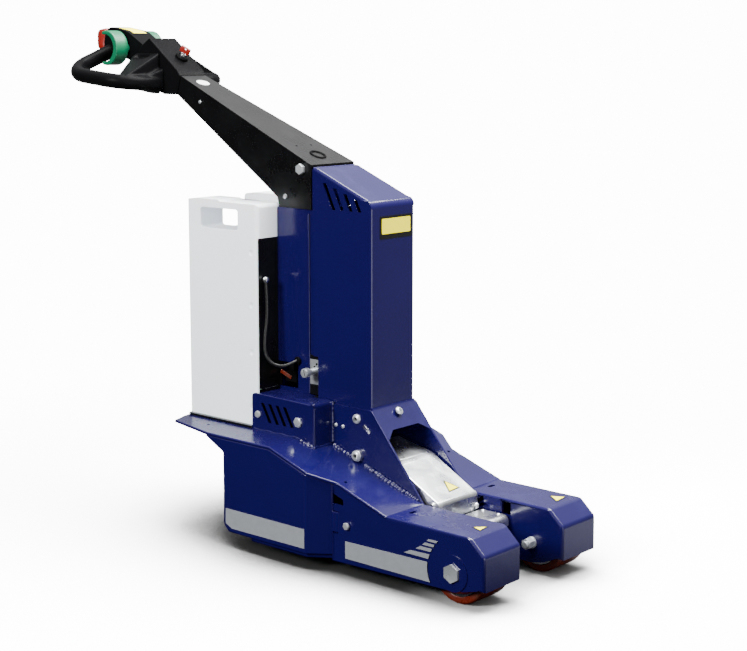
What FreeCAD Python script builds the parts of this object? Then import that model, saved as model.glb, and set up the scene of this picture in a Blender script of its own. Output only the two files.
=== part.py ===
import FreeCAD, Part
import math
import os

os.makedirs("parts", exist_ok=True)

V = FreeCAD.Vector

# Frame: +X towards the fork tips, +Y to the machine's left, +Z up, floor at Z = 0.
# Every length is in millimetres. Stations along X are measured back from the fork tips.

# ---------------------------------------------------------------- driving sizes
# Sheets, fits and clearances
plate = 6.0                   # chassis plate
sheet = 4.0                   # hood and column sheet
skin = 3.0                    # light covers
fit = 0.05                    # running clearance on a shaft
face_gap = 0.3                # gap between faces of pieces that move past each other
seam = 2.0                    # visible slit between two plates
reach = 2500.0                # longer than the machine, for cutting tools

# Fork arms
tip_x = 603.0                 # front face of the two fork arms
lift_half = 57.0              # half width of the lift arm between them
side_clear = 5.0              # between the lift arm and the hood beside it
arm_clear = 7.0               # between the lift arm and the fork arms
arm_width = 107.0
arm_top = 131.0
arm_bottom = 21.5
arm_nose_bottom = 38.0
arm_nose_top = 102.0
arm_nose_run = 32.0
arm_flat_run = 222.0          # from the tip back to the bend of the deck
arm_side_run = 354.5          # from the tip back to the seam with the skirt
arm_hole_x = tip_x - 204.0    # oval hole in the arm's top
arm_hole_long = 19.0
arm_hole_wide = 9.0
guide_rear = 181.0            # raised pad inside the arm, and the slot in front of it
guide_front = 141.0
guide_drop = 2.0
guide_height = 15.0
guide_proud = 1.0
guide_slot = 21.0
guide_slot_height = 30.0

# Front rollers
roller_r = 60.0
roller_width = 77.0
roller_tyre = 14.0
roller_x = tip_x - 69.0
axle_r = 10.0
axle_hex = 30.0
axle_head = 12.5
boss_r = 39.0
boss_proud = 2.0

# Deck
deck_rear_top = 221.0
deck_bend_x = tip_x - 490.0
deck_half = 201.0
deck_neck_rear_x = tip_x - 391.0
deck_neck_front_x = tip_x - 343.0
shelf_start_x = tip_x - 661.0
shelf_corner_x = tip_x - 791.0
shelf_corner_y = 170.0
shelf_rear_y = 126.0
shelf_edge = 1.0              # shelf in front of the battery's rear face
well_rear_x = tip_x - 412.0   # rear edge of the deck's slot for the lift arm

# Skirts
skirt_rear_x = tip_x - 617.0
skirt_bottom = 31.5
skirt_corner = 14.0
lip_bottom = 23.0             # inner lip that closes the skirt's lower edge
lip_rear_x = tip_x - 546.0
tab_length = 14.5             # tongue of the skirt that is let into the arm
tab_bottom = 76.5
tab_height = 39.0
window_length = 27.5          # opening in the arm above the tongue
window_bottom = 130.0
window_top = 151.0
gusset_run = 51.0
gusset_drop = 26.0

# Hood over the column's foot
hood_rear_x = tip_x - 620.0
hood_step_x = tip_x - 452.0
hood_height = 72.0
hood_front_height = 66.0
hood_nose_x = tip_x - 351.0
hood_round = 8.0
arch_drop = 36.0              # top of the arch below the hood's front top
arch_side_drop = 49.0
vent_count = 4
vent_pitch = 20.2
vent_width = 6.5
vent_height = 36.0
vent_slant = 20.5
vent_rear_x = tip_x - 572.0   # foot of the rearmost vent
vent_rise = 17.5              # foot of the vents above the deck

# Column
core_rear_x = tip_x - 605.0
core_depth = 100.0
core_half = 57.5
cover_depth = 151.0
cover_half = 62.0
cover_lift = 1.5              # slit between hood and cover
cover_height = 448.5          # of the cover's rear edge
slope_angle = 22.5
cover_round = 18.0
slot_height = 78.5            # slot at the cover's foot for the latch
slot_depth = 13.0
socket_length = 54.0          # opening in the core's side for the plug
socket_height = 58.0
cheek_height = 437.0          # underside of the tiller's cheeks above the deck
mast_half = 50.0
cover_vent_pitch = 22.0
cover_vent_width = 9.0
cover_vent_rear_x = tip_x - 454.0
cover_vent_foot = 367.0       # above the cover's lower edge
cover_vent_slant = 0.48
cover_vent_top_drop = 10.0    # slots end this far below the sloping top over their feet

# Tiller arm
tiller_length = 398.0
tiller_half_rear = 34.0
tiller_sheet = 3.5
tiller_rear_drop = 39.0       # depth of the arm's side at the head
cheek_rear_drop = 19.0
cheek_overlap = 4.0           # between the cheeks and the cover
pivot_back = 30.0             # cheek bolts, behind the cover's rear edge
pivot_drop = 20.0
pivot_r = 8.0
clamp_back = 76.0
clamp_rise = 22.0
clamp_r = 4.0

# Tiller head
console_half = 37.0
nose_half = 29.0
grip_r = 15.5
grip_half = 142.0             # centre line of the grip loops, out from the middle
grip_front_back = 56.0        # the head's places are measured from the tiller arm's rear end
grip_rear_back = 239.0
grip_front_drop = 13.5
grip_rear_rise = 5.5
wing_r = 37.0
wing_wall = 8.0
wing_back = 203.0
wing_rise = 57.5
wing_width = 33.0
wing_gap = 4.0                # between nose and wing
nose_back = 255.0
nose_rise = 103.3
nose_depth = 64.0
nose_tip_half = 21.0
button_depth = 44.0
ridge_back = 95.0              # top of the console's inclined face, behind the arm's end
ridge_drop = 25.0
valley_run = 26.0              # the dip between console and nose
valley_fall = 16.0
face_lip = 9.0
web_back = 34.0
wing_slim = 5.0                # the wings are thickest in the middle
key_r = 11.0

# Battery case on the shelf
case_length = 202.5
case_half = 112.0
case_side_gap = 1.0           # between the case and the hood's side plates
case_front_gap = 1.5          # between the case and the column's back
case_wall = 5.0
case_shoulder = 374.0         # body of the case above the tray
case_cheek_rise = 69.0
case_cheek = 62.0             # thickness of the two lifting cheeks
case_round = 9.0
case_hump = 3.5
case_hump_start = 32.0
case_hump_end = 92.0
grip_hole_start = 41.0        # hand hole, from the case's rear face
grip_hole_length = 107.0
grip_hole_rise = 11.0         # above the shoulder
grip_hole_height = 41.0
tray_edge = 8.0
tray_z = 5.0
block_height = 249.0

# Battery lead and its fittings
lead_r = 3.5
gland_out = 13.0              # how far the gland stands off the contact plate
gland_y = -97.0
gland_z = 512.0
gland_size = 12.0
lead_end_x = tip_x - 549.0
lead_end_z = 358.0
grommet_r = 8.0
grommet_length = 6.0

# Drive axle under the deck
drive_x = tip_x - 545.0
drive_r = 95.0
drive_tyre = 22.0
drive_width = 45.0
drive_in = 88.0
stub_r = 12.5
hub_clear = 5.0

# Lift arm and hitch saddle
lift_sheet = 6.0
lift_pivot_x = tip_x - 382.0
lift_pivot_z = 197.0
lift_pin_r = 8.0
lift_nose_x = tip_x - 188.0
saddle_pin_x = tip_x - 203.0
saddle_pin_z = 111.0
saddle_pin_r = 7.0
saddle_clear = 6.0            # between the saddle and the fork arms
saddle_top = 103.0
saddle_plate = 6.0

# ---------------------------------------------------------------- worked-out sizes
well_half = lift_half + arm_clear - 1.0
hood_front_half = lift_half + side_clear + sheet
arm_half_inner = lift_half + arm_clear
arm_half_outer = arm_half_inner + arm_width
arm_mid = arm_half_inner + arm_width / 2.0
arm_rear_x = tip_x - arm_side_run
bend_front_x = tip_x - arm_flat_run
slope_run = bend_front_x - deck_bend_x
slope_rise = deck_rear_top - arm_top
deck_drop = plate * math.hypot(slope_run, slope_rise) / slope_run
deck_under = deck_rear_top - plate
under_bend_x = deck_bend_x - (deck_drop - plate) * slope_run / slope_rise

hood_half = case_half + case_side_gap + sheet
hood_top = deck_rear_top + hood_height
hood_front_top = deck_rear_top + hood_front_height
cover_rear_x = core_rear_x + core_depth
cover_front_x = cover_rear_x + cover_depth
cover_bottom = hood_top + cover_lift
slope_top_z = cover_bottom + cover_height
slope_tan = math.tan(math.radians(slope_angle))
slot_top = cover_bottom + slot_height
slot_x1 = cover_rear_x + slot_depth
cheek_bottom = deck_rear_top + cheek_height
cheek_front_x = cover_rear_x - cheek_overlap
tiller_rear_x = cheek_front_x - tiller_length
tiller_half_front = cover_half - 0.5
tiller_top_rear = slope_top_z + (cover_rear_x - tiller_rear_x) * slope_tan
tiller_under_rear = tiller_top_rear - tiller_rear_drop
grip_front_x = tiller_rear_x - grip_front_back
grip_rear_x = tiller_rear_x - grip_rear_back
grip_front_z = tiller_top_rear - grip_front_drop
grip_rear_z = tiller_top_rear + grip_rear_rise
wing_x = tiller_rear_x - wing_back
wing_z = tiller_top_rear + wing_rise
nose_end_x = tiller_rear_x - nose_back
nose_top = tiller_top_rear + nose_rise
pivot_x = cover_rear_x - pivot_back
clamp_x = cover_rear_x - clamp_back

case_front_x = core_rear_x - case_front_gap
case_rear_x = case_front_x - case_length
case_bottom = deck_rear_top + tray_z
case_shoulder_z = case_bottom + case_shoulder
case_top = case_shoulder_z + case_cheek_rise
tray_half = case_half + tray_edge
shelf_rear_x = case_rear_x + shelf_edge
saddle_half = arm_half_inner - saddle_clear


# ---------------------------------------------------------------- small makers
def unit(v):
    return V(v).multiply(1.0 / v.Length)


def outline(points, place):
    # closed wire; a third number at a point rounds that corner
    corners = [place(p[0], p[1]) for p in points]
    count = len(points)
    entries = []
    exits = []
    arcs = []
    for i in range(count):
        here = corners[i]
        radius = points[i][2] if len(points[i]) > 2 else 0.0
        if radius == 0.0:
            entries.append(here)
            exits.append(here)
            arcs.append(None)
            continue
        back = unit(corners[i - 1].sub(here))
        ahead = unit(corners[(i + 1) % count].sub(here))
        half = back.getAngle(ahead) / 2.0
        cut = radius / math.tan(half)
        entry = here.add(V(back).multiply(cut))
        leave = here.add(V(ahead).multiply(cut))
        middle = unit(back.add(ahead))
        middle = here.add(middle.multiply(radius / math.sin(half) - radius))
        entries.append(entry)
        exits.append(leave)
        arcs.append(Part.Arc(entry, middle, leave).toShape())
    edges = []
    for i in range(count):
        if arcs[i] is not None:
            edges.append(arcs[i])
        after = entries[(i + 1) % count]
        if exits[i].distanceToPoint(after) > 0.001:
            edges.append(Part.LineSegment(exits[i], after).toShape())
    return Part.Wire(edges)


def box(x0, x1, y0, y1, z0, z1):
    return Part.makeBox(x1 - x0, y1 - y0, z1 - z0, V(x0, y0, z0))


def prism_x(points, x0, x1):
    # points are (y, z)
    face = Part.Face(outline(points, lambda y, z: V(x0, y, z)))
    return face.extrude(V(x1 - x0, 0, 0))


def prism_y(points, y0, y1):
    # points are (x, z)
    face = Part.Face(outline(points, lambda x, z: V(x, y0, z)))
    return face.extrude(V(0, y1 - y0, 0))


def prism_z(points, z0, z1):
    # points are (x, y)
    face = Part.Face(outline(points, lambda x, y: V(x, y, z0)))
    return face.extrude(V(0, 0, z1 - z0))


def rod_y(x, z, r, y0, y1):
    return Part.makeCylinder(r, y1 - y0, V(x, y0, z), V(0, 1, 0))


def hex_y(x, z, across, y0, y1):
    r = across / math.sqrt(3.0)
    pts = []
    for i in range(6):
        a = math.radians(60.0 * i + 30.0)
        pts.append((x + r * math.cos(a), z + r * math.sin(a)))
    return prism_y(pts, y0, y1)


def mirror(shape):
    return shape.mirror(V(0, 0, 0), V(0, 1, 0))


def join(shapes):
    out = shapes[0]
    for s in shapes[1:]:
        out = out.fuse(s)
    return out.removeSplitter()


def both(shape):
    return Part.makeCompound([shape, mirror(shape)])


def save(name, shape):
    shape.exportStep("parts/" + name + ".step")


def slanted_slots(foot_x, foot_z, pitch, width, tops, slant, y0, y1):
    # row of slots that lean back as they rise; one top height for each slot
    slots = []
    for i, top in enumerate(tops):
        x = foot_x + pitch * i
        lean = slant * (top - foot_z)
        corners = [(x, foot_z), (x + width, foot_z), (x + width - lean, top), (x - lean, top)]
        slots.append(prism_y(corners, y0, y1))
    return slots


def tube(points, radius):
    # straight runs joined by tangent arcs, each arc as large as its two runs allow
    pts = [V(*p) for p in points]
    edges = []
    radii = []
    start = pts[0]
    for i in range(1, len(pts) - 1):
        a = pts[i - 1].sub(pts[i])
        b = pts[i + 1].sub(pts[i])
        cut = 0.45 * min(a.Length, b.Length)
        a.normalize()
        b.normalize()
        turn = math.pi - a.getAngle(b)
        r = cut / math.tan(turn / 2.0)
        p = pts[i].add(V(a).multiply(cut))
        q = pts[i].add(V(b).multiply(cut))
        middle = unit(a.add(b))
        middle = pts[i].add(middle.multiply(math.hypot(r, cut) - r))
        radii.append(r)
        edges.append(Part.LineSegment(start, p).toShape())
        edges.append(Part.Arc(p, middle, q).toShape())
        start = q
    edges.append(Part.LineSegment(start, pts[-1]).toShape())
    wire = Part.Wire(edges)
    ring = Part.Wire([Part.Circle(pts[0], pts[1].sub(pts[0]), radius).toShape()])
    print("arc radii", " ".join("%.0f" % v for v in radii))
    print("length %.0f" % wire.Length)
    return wire.makePipeShell([ring], True, False)


def deck_top(x):
    if x <= deck_bend_x:
        return deck_rear_top
    return deck_rear_top - slope_rise * (x - deck_bend_x) / slope_run


def deck_line(x0, x1):
    # foot line that follows the deck's top from x0 to x1
    pts = [(x0, deck_top(x0))]
    if x0 < deck_bend_x < x1:
        pts.append((deck_bend_x, deck_rear_top))
    pts.append((x1, deck_top(x1)))
    return pts


def slope_z(x):
    # sloping line that tops the column's cover and the tiller arm
    return slope_top_z + (cover_rear_x - x) * slope_tan


# ---------------------------------------------------------------- deck
deck_profile = [
    (shelf_rear_x - plate, deck_rear_top),
    (deck_bend_x, deck_rear_top),
    (bend_front_x, arm_top),
    (bend_front_x, arm_top - deck_drop),
    (under_bend_x, deck_under),
    (shelf_rear_x - plate, deck_under),
]
deck_half_plan = [
    (bend_front_x, arm_half_outer),
    (deck_neck_front_x, arm_half_outer),
    (deck_neck_rear_x, deck_half),
    (shelf_start_x, deck_half),
    (shelf_corner_x, shelf_corner_y),
    (shelf_rear_x, shelf_rear_y),
]
deck_plan = deck_half_plan + [(x, -y) for x, y in reversed(deck_half_plan)]
deck = prism_y(deck_profile, -reach, reach).common(prism_z(deck_plan, 0.0, reach))
deck = deck.cut(box(well_rear_x, tip_x, -well_half, well_half, 0.0, reach))
save("deck", deck)

# ---------------------------------------------------------------- fork arms
arm_profile = [
    (tip_x, arm_nose_bottom),
    (tip_x, arm_nose_top),
    (tip_x - arm_nose_run, arm_top),
    (bend_front_x, arm_top),
    (bend_front_x, arm_top - deck_drop),
    (arm_rear_x, deck_top(arm_rear_x) - deck_drop),
    (arm_rear_x, arm_bottom),
    (roller_x, arm_bottom),
    (roller_x + 0.7 * boss_r, arm_bottom + 0.13 * boss_r),
    (tip_x - 18.0, arm_nose_bottom),
]
arm_hollow = [
    (tip_x - sheet, 0.0),
    (tip_x - sheet, arm_nose_top - 0.4 * sheet),
    (tip_x - arm_nose_run - 0.4 * sheet, arm_top - sheet),
    (bend_front_x, arm_top - sheet),
    (arm_rear_x - plate, deck_top(arm_rear_x) + plate),
    (arm_rear_x - plate, 0.0),
]
outer_wall_y = arm_half_outer - plate
inner_wall_y = arm_half_inner + plate
arm = prism_y(arm_profile, arm_half_inner, arm_half_outer)
arm = arm.cut(prism_y(arm_hollow, inner_wall_y, outer_wall_y))
boss = rod_y(roller_x, roller_r, boss_r, arm_half_outer, arm_half_outer + boss_proud)
pad_x0 = tip_x - guide_rear
pad_x1 = tip_x - guide_front
pad_top = arm_top - guide_drop
pad = box(pad_x0, pad_x1, arm_half_inner - guide_proud, arm_half_inner, pad_top - guide_height, pad_top)
arm = join([arm, boss, pad])
arm = arm.cut(rod_y(roller_x, roller_r, axle_r, 0.0, reach))

# slot in the inner wall in front of the pad, and the oval hole in the top
slot_front = pad_x1 + seam + guide_slot
arm = arm.cut(box(pad_x1 + seam, slot_front, arm_half_inner - plate, inner_wall_y, arm_top - guide_slot_height,
                  arm_top - sheet))
hole_y0 = arm_mid - arm_hole_long / 2.0
hole_y1 = arm_mid + arm_hole_long / 2.0
hole_round = arm_hole_wide / 2.0 - 0.1
arm = arm.cut(prism_z(
    [
        (arm_hole_x - arm_hole_wide / 2.0, hole_y0, hole_round),
        (arm_hole_x + arm_hole_wide / 2.0, hole_y0, hole_round),
        (arm_hole_x + arm_hole_wide / 2.0, hole_y1, hole_round),
        (arm_hole_x - arm_hole_wide / 2.0, hole_y1, hole_round),
    ],
    arm_top - plate, arm_top + plate))

# seat of the skirt's tongue, and the window above it
tab_top = tab_bottom + tab_height
tab_front_x = arm_rear_x + tab_length
window_front_x = arm_rear_x + window_length
arm = arm.cut(box(arm_rear_x - plate, tab_front_x, outer_wall_y - 1.0, arm_half_outer + 1.0,
                  tab_bottom - seam, tab_top + seam))
arm = arm.cut(prism_y(
    [
        (arm_rear_x - plate, window_bottom),
        (window_front_x, window_bottom),
        (window_front_x, window_top - window_length * slope_rise / slope_run),
        (arm_rear_x, window_top),
        (arm_rear_x - plate, window_top),
    ],
    outer_wall_y - 1.0, arm_half_outer + 1.0))
save("arm_left", arm)
save("arm_right", mirror(arm))

# ---------------------------------------------------------------- front rollers
roller_y0 = arm_mid - roller_width / 2.0
roller_y1 = arm_mid + roller_width / 2.0
hub_r = roller_r - roller_tyre


def tyred_wheel(x, r, tyre, bore, y0, y1, edge):
    # rim with a plain bore, and a tyre with chamfered edges round it
    rim_radius = r - tyre
    rim_solid = rod_y(x, r, rim_radius, y0, y1)
    rim_solid = rim_solid.cut(rod_y(x, r, bore, y0 - 1.0, y1 + 1.0))
    tread = rod_y(x, r, r, y0, y1)
    tread = tread.makeChamfer(edge, tread.Edges[0:1] + tread.Edges[2:3])
    tread = tread.cut(rod_y(x, r, rim_radius, y0 - 1.0, y1 + 1.0))
    return rim_solid, tread


roller_hub, roller_tread = tyred_wheel(roller_x, roller_r, roller_tyre, axle_r + fit, roller_y0, roller_y1, 3.0)
save("roller_hub_left", roller_hub)
save("roller_tyre_left", roller_tread)
save("roller_hub_right", mirror(roller_hub))
save("roller_tyre_right", mirror(roller_tread))

# Axle bolt: head outside, washer and lock nut in the gap between the arms
head_face = arm_half_outer + boss_proud
washer_t = 3.0
nut_t = 16.0
thread_end = 5.0
nut_face = arm_half_inner - washer_t - nut_t
axle = join([
    rod_y(roller_x, roller_r, axle_r, nut_face - thread_end, head_face),
    hex_y(roller_x, roller_r, axle_hex, head_face, head_face + axle_head),
    rod_y(roller_x, roller_r, axle_hex * 0.6, arm_half_inner - washer_t, arm_half_inner),
    hex_y(roller_x, roller_r, axle_hex, nut_face, arm_half_inner - washer_t),
])
save("axle_bolt_left", axle)
save("axle_bolt_right", mirror(axle))

spacers = []
for y0, y1 in ((inner_wall_y, roller_y0 - face_gap), (roller_y1 + face_gap, outer_wall_y)):
    ring = rod_y(roller_x, roller_r, axle_r * 1.6, y0, y1)
    spacers.append(ring.cut(rod_y(roller_x, roller_r, axle_r, y0 - 1.0, y1 + 1.0)))
save("roller_spacers", Part.makeCompound(spacers + [mirror(s) for s in spacers]))

# ---------------------------------------------------------------- skirts
skirt_profile = [
    (skirt_rear_x - gusset_run, deck_under),
    (skirt_rear_x, deck_under - gusset_drop),
    (skirt_rear_x, skirt_bottom + skirt_corner),
    (skirt_rear_x + skirt_corner, skirt_bottom),
    (arm_rear_x, skirt_bottom),
    (arm_rear_x, tab_bottom),
    (tab_front_x, tab_bottom),
    (tab_front_x, tab_top),
    (arm_rear_x, tab_top),
    (arm_rear_x, deck_top(arm_rear_x) - deck_drop),
    (under_bend_x, deck_under),
]
neck_rear_x = deck_neck_rear_x - 4.0
neck_front_x = arm_rear_x
bend_in = plate / 2.0
skirt_plan = [
    (skirt_rear_x - gusset_run, deck_half),
    (neck_rear_x, deck_half),
    (neck_front_x, arm_half_outer),
    (tab_front_x, arm_half_outer),
    (tab_front_x, outer_wall_y),
    (neck_front_x, outer_wall_y),
    (neck_rear_x - bend_in, deck_half - plate),
    (skirt_rear_x - gusset_run, deck_half - plate),
]
skirt = prism_y(skirt_profile, 0.0, reach).common(prism_z(skirt_plan, 0.0, reach))
lip_plan = [
    (lip_rear_x, deck_half - plate),
    (neck_rear_x - bend_in, deck_half - plate),
    (neck_front_x, outer_wall_y),
    (neck_front_x, outer_wall_y - plate),
    (neck_rear_x - 2.0 * bend_in, deck_half - 2.0 * plate),
    (lip_rear_x, deck_half - 2.0 * plate),
]
lip = prism_z(lip_plan, lip_bottom, skirt_bottom + 5.0 * plate)
skirt = join([skirt, lip])
save("skirt_left", skirt)
save("skirt_right", mirror(skirt))

# Cross member that ties the arms under the deck behind the lift arm's slot
cross_bottom = 60.0
cross_top = 170.0
web_top = 150.0
cross = box(well_rear_x - plate, well_rear_x, -outer_wall_y, outer_wall_y, cross_bottom, cross_top)
web = box(well_rear_x, arm_rear_x, arm_half_inner, inner_wall_y, cross_bottom, web_top)
save("cross_member", join([cross, web, mirror(web)]))

# ---------------------------------------------------------------- hood
rear_outline = deck_line(hood_rear_x, hood_step_x) + [
    (hood_step_x, hood_top, hood_round),
    (hood_rear_x, hood_top, hood_round),
]
rear_side = prism_y(rear_outline, hood_half - sheet, hood_half)
rear_block = prism_y(rear_outline, hood_front_half, hood_half)
step_plate = rear_block.common(box(hood_step_x - sheet, hood_step_x, 0.0, reach, 0.0, reach))
roof = box(core_rear_x, hood_step_x, hood_front_half - sheet, hood_half, hood_top - sheet, hood_top)
roof = roof.cut(box(cover_rear_x, hood_step_x + 1.0, 0.0, cover_half, 0.0, reach))
roof = roof.common(rear_block.fuse(box(core_rear_x, cover_rear_x, 0.0, hood_front_half, 0.0, reach)))
roof_inner = box(core_rear_x, cover_rear_x, core_half, hood_front_half, hood_top - sheet, hood_top)
side_rear = join([rear_side, step_plate, roof, roof_inner])
vent_foot_z = deck_rear_top + vent_rise
vent_tops = [vent_foot_z + vent_height] * vent_count
for slot in slanted_slots(vent_rear_x, vent_foot_z, vent_pitch, vent_width, vent_tops,
                          vent_slant / vent_height, hood_half - 2.0 * sheet, hood_half + 1.0):
    side_rear = side_rear.cut(slot)
save("hood_rear", both(side_rear))

front_outline = deck_line(hood_step_x, bend_front_x) + [
    (hood_nose_x, hood_front_top, 5.0),
    (hood_step_x, hood_front_top),
]
front_plate = prism_y(front_outline, hood_front_half - sheet, hood_front_half)
front_plate = front_plate.cut(rod_y(lift_pivot_x, lift_pivot_z, lift_pin_r, 0.0, reach))

# Sloping bridge between the two front plates, arched below
nose_run = bend_front_x - hood_nose_x
nose_fall = hood_front_top - arm_top
nose_thick = sheet * math.hypot(nose_run, nose_fall) / nose_fall


def on_nose(z):
    return hood_nose_x + (hood_front_top - z) * nose_run / nose_fall


arch_z = hood_front_top - arch_drop
arch_side_z = hood_front_top - arch_side_drop
bridge_top = cover_bottom - cover_lift - sheet / 2.0
bridge_profile = [
    (on_nose(arch_side_z), arch_side_z),
    (hood_nose_x, hood_front_top),
    (hood_nose_x - 1.0, bridge_top),
    (hood_nose_x - 1.0 - sheet, bridge_top),
    (hood_nose_x - nose_thick, hood_front_top),
    (on_nose(arch_side_z) - nose_thick, arch_side_z),
]
bridge_half = hood_front_half - sheet
bridge = prism_y(bridge_profile, -bridge_half, bridge_half)
arch_inset = 3.0
arch_flat = 24.0
arch = prism_x(
    [
        (-bridge_half + arch_inset, 0.0),
        (-bridge_half + arch_inset, arch_side_z),
        (-bridge_half + arch_flat, arch_z, 10.0),
        (bridge_half - arch_flat, arch_z, 10.0),
        (bridge_half - arch_inset, arch_side_z),
        (bridge_half - arch_inset, 0.0),
    ],
    0.0, reach)
save("hood_front", join([bridge.cut(arch), front_plate, mirror(front_plate)]))

# ---------------------------------------------------------------- column
cover_top_front = slope_z(cover_front_x)
cover_profile = [
    (cover_rear_x, cover_bottom),
    (cover_rear_x, slope_top_z),
    (cover_front_x, cover_top_front, cover_round),
    (cover_front_x, cover_bottom),
]
cover_hollow = [
    (cover_rear_x - 1.0, cover_bottom - 1.0),
    (cover_rear_x - 1.0, slope_z(cover_rear_x - 1.0) - skin),
    (cover_front_x - skin, slope_z(cover_front_x - skin) - skin, cover_round - skin),
    (cover_front_x - skin, cover_bottom - 1.0),
]
cover = prism_y(cover_profile, -cover_half, cover_half)
cover = cover.cut(prism_y(cover_hollow, -cover_half + skin, cover_half - skin))
latch_slot = box(core_rear_x + core_depth - 11.0, slot_x1, -reach, 0.0, cover_bottom - 1.0, slot_top)
cover = cover.cut(latch_slot)
vent_tops = []
for i in range(vent_count):
    vent_tops.append(slope_z(cover_vent_rear_x + cover_vent_pitch * i) - cover_vent_top_drop)
for slot in slanted_slots(cover_vent_rear_x, cover_bottom + cover_vent_foot, cover_vent_pitch, cover_vent_width,
                          vent_tops, cover_vent_slant, -reach, reach):
    cover = cover.cut(slot)
save("column_cover", cover)

core_front_x = cover_rear_x
core_top = cheek_bottom - face_gap
core = box(core_rear_x, core_front_x, -core_half, core_half, deck_rear_top, core_top)
core = core.cut(box(core_rear_x + sheet, core_front_x - sheet, -core_half + sheet, core_half - sheet,
                    deck_rear_top - 1.0, core_top - sheet))
core = core.cut(latch_slot)
core = core.cut(box(core_rear_x - 1.0, core_rear_x + socket_length, -core_half - 1.0, -core_half + sheet + 1.0,
                    hood_top, hood_top + socket_height))
mast_x0 = core_rear_x + 9.0
mast_x1 = core_front_x - 5.0
mast_top = slope_z(mast_x1) - 1.6 * tiller_sheet
mast = prism_y(
    [
        (mast_x0, core_top - sheet),
        (mast_x1, core_top - sheet),
        (mast_x1, mast_top),
        (mast_x0 + core_depth / 2.0, mast_top),
        (mast_x0, clamp_rise + cheek_bottom + 3.0 * clamp_r),
    ],
    -mast_half, mast_half)
mast = mast.cut(box(mast_x0 + sheet, mast_x1 - sheet, -mast_half + sheet, mast_half - sheet, 0.0, reach))
core = join([core, mast])
cheek_bolts = [
    (pivot_x, slope_top_z + pivot_back * slope_tan - pivot_drop, pivot_r),
    (clamp_x, cheek_bottom + clamp_rise, clamp_r),
]
for hx, hz, hr in cheek_bolts:
    core = core.cut(rod_y(hx, hz, hr, -reach, reach))
save("column_core", core)

# Struts inside the hood that carry the cover on the deck
stem_front_x = cover_front_x - 30.0
stem_half = cover_half - skin
stem_top = cover_bottom + 60.0
well_clear = 5.0
stem = prism_y(deck_line(cover_rear_x, stem_front_x) + [(stem_front_x, stem_top), (cover_rear_x, stem_top)],
               -stem_half, stem_half)
stem = stem.cut(box(cover_rear_x - 1.0, cover_front_x, -stem_half + sheet, stem_half - sheet, 0.0, reach))
stem = stem.cut(latch_slot)
stem = stem.cut(box(well_rear_x - well_clear, cover_front_x, -reach, reach, 0.0, cover_bottom - 60.0))
save("column_stems", stem)

# Galvanised latch plate in the slot, with its round-headed bolt
latch_height = 48.0
latch_drop = 3.0
latch_stem_r = 5.0
latch_head_r = 11.0
latch_reach = 44.0
latch_top = slot_top - latch_drop
latch_x = cover_rear_x + 2.0
latch_z = latch_top - latch_height / 2.0
latch = join([
    box(cover_rear_x - 8.0, slot_x1, -core_half, -core_half + sheet, latch_top - latch_height, latch_top),
    rod_y(latch_x, latch_z, latch_stem_r, -core_half - latch_reach, -core_half),
    rod_y(latch_x, latch_z, latch_head_r, -core_half - latch_reach, -core_half - latch_reach + 12.0),
])
save("latch_bolt", latch)

# ---------------------------------------------------------------- tiller arm
cheek_rear_x = core_rear_x + 3.0
tiller_profile = [
    (cheek_front_x, slope_z(cheek_front_x)),
    (cheek_front_x, cheek_bottom),
    (cheek_rear_x, cheek_bottom),
    (cheek_rear_x - 5.0, cheek_bottom + cheek_rear_drop),
    (tiller_rear_x - 12.0, tiller_under_rear),
    (tiller_rear_x, tiller_top_rear),
]
top_thick = tiller_sheet / math.cos(math.radians(slope_angle))
tiller_hollow = [
    (cheek_front_x + 1.0, slope_z(cheek_front_x + 1.0) - top_thick),
    (cheek_front_x + 1.0, 0.0),
    (tiller_rear_x - 20.0, 0.0),
    (tiller_rear_x - 20.0, slope_z(tiller_rear_x - 20.0) - top_thick),
]
taper = (tiller_half_front - tiller_half_rear) / tiller_length


def tiller_plan(inset):
    # plan of the arm, narrowing towards the head, a little longer at both ends
    extra = 30.0
    front = tiller_half_front + extra * taper - inset
    rear = tiller_half_rear - extra * taper - inset
    x_front = cheek_front_x + extra
    x_rear = tiller_rear_x - extra
    return [(x_front, front), (x_rear, rear), (x_rear, -rear), (x_front, -front)]


tiller = prism_y(tiller_profile, -reach, reach).common(prism_z(tiller_plan(0.0), 0.0, reach))
hollow = prism_y(tiller_hollow, -reach, reach).common(prism_z(tiller_plan(tiller_sheet), 0.0, reach))
tiller = tiller.cut(hollow)
for hx, hz, hr in cheek_bolts:
    tiller = tiller.cut(rod_y(hx, hz, hr, -reach, reach))
save("tiller_arm", tiller)

bolts = []
for hx, hz, hr in cheek_bolts:
    across = hr * 3.0
    seat = tiller_half_front - (cheek_front_x - hx) * taper + across * 0.6 * taper
    bolts.append(join([
        rod_y(hx, hz, hr, -seat, seat),
        hex_y(hx, hz, across, seat, seat + across * 0.3),
        hex_y(hx, hz, across, -seat - across * 0.3, -seat),
    ]))
save("tiller_bolts", Part.makeCompound(bolts))

# ---------------------------------------------------------------- tiller head
ridge_x = tiller_rear_x - ridge_back
ridge_z = nose_top - ridge_drop
valley_x = ridge_x - valley_run
valley_z = ridge_z - valley_fall
nose_under = nose_top - nose_depth
console_face = (tiller_rear_x - face_lip, tiller_top_rear + 12.0)
console = prism_y(
    [
        (tiller_rear_x, tiller_top_rear),
        console_face,
        (ridge_x, ridge_z, 4.0),
        (valley_x, valley_z),
        (valley_x - 16.0, nose_under, 6.0),
        (ridge_x + 3.0, nose_under - 10.0, 10.0),
        (ridge_x + 8.0, tiller_under_rear + 12.0, 12.0),
        (ridge_x + 44.0, tiller_under_rear),
        (tiller_rear_x - 12.0, tiller_under_rear),
    ],
    -console_half, console_half)
save("head_console", console)

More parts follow.
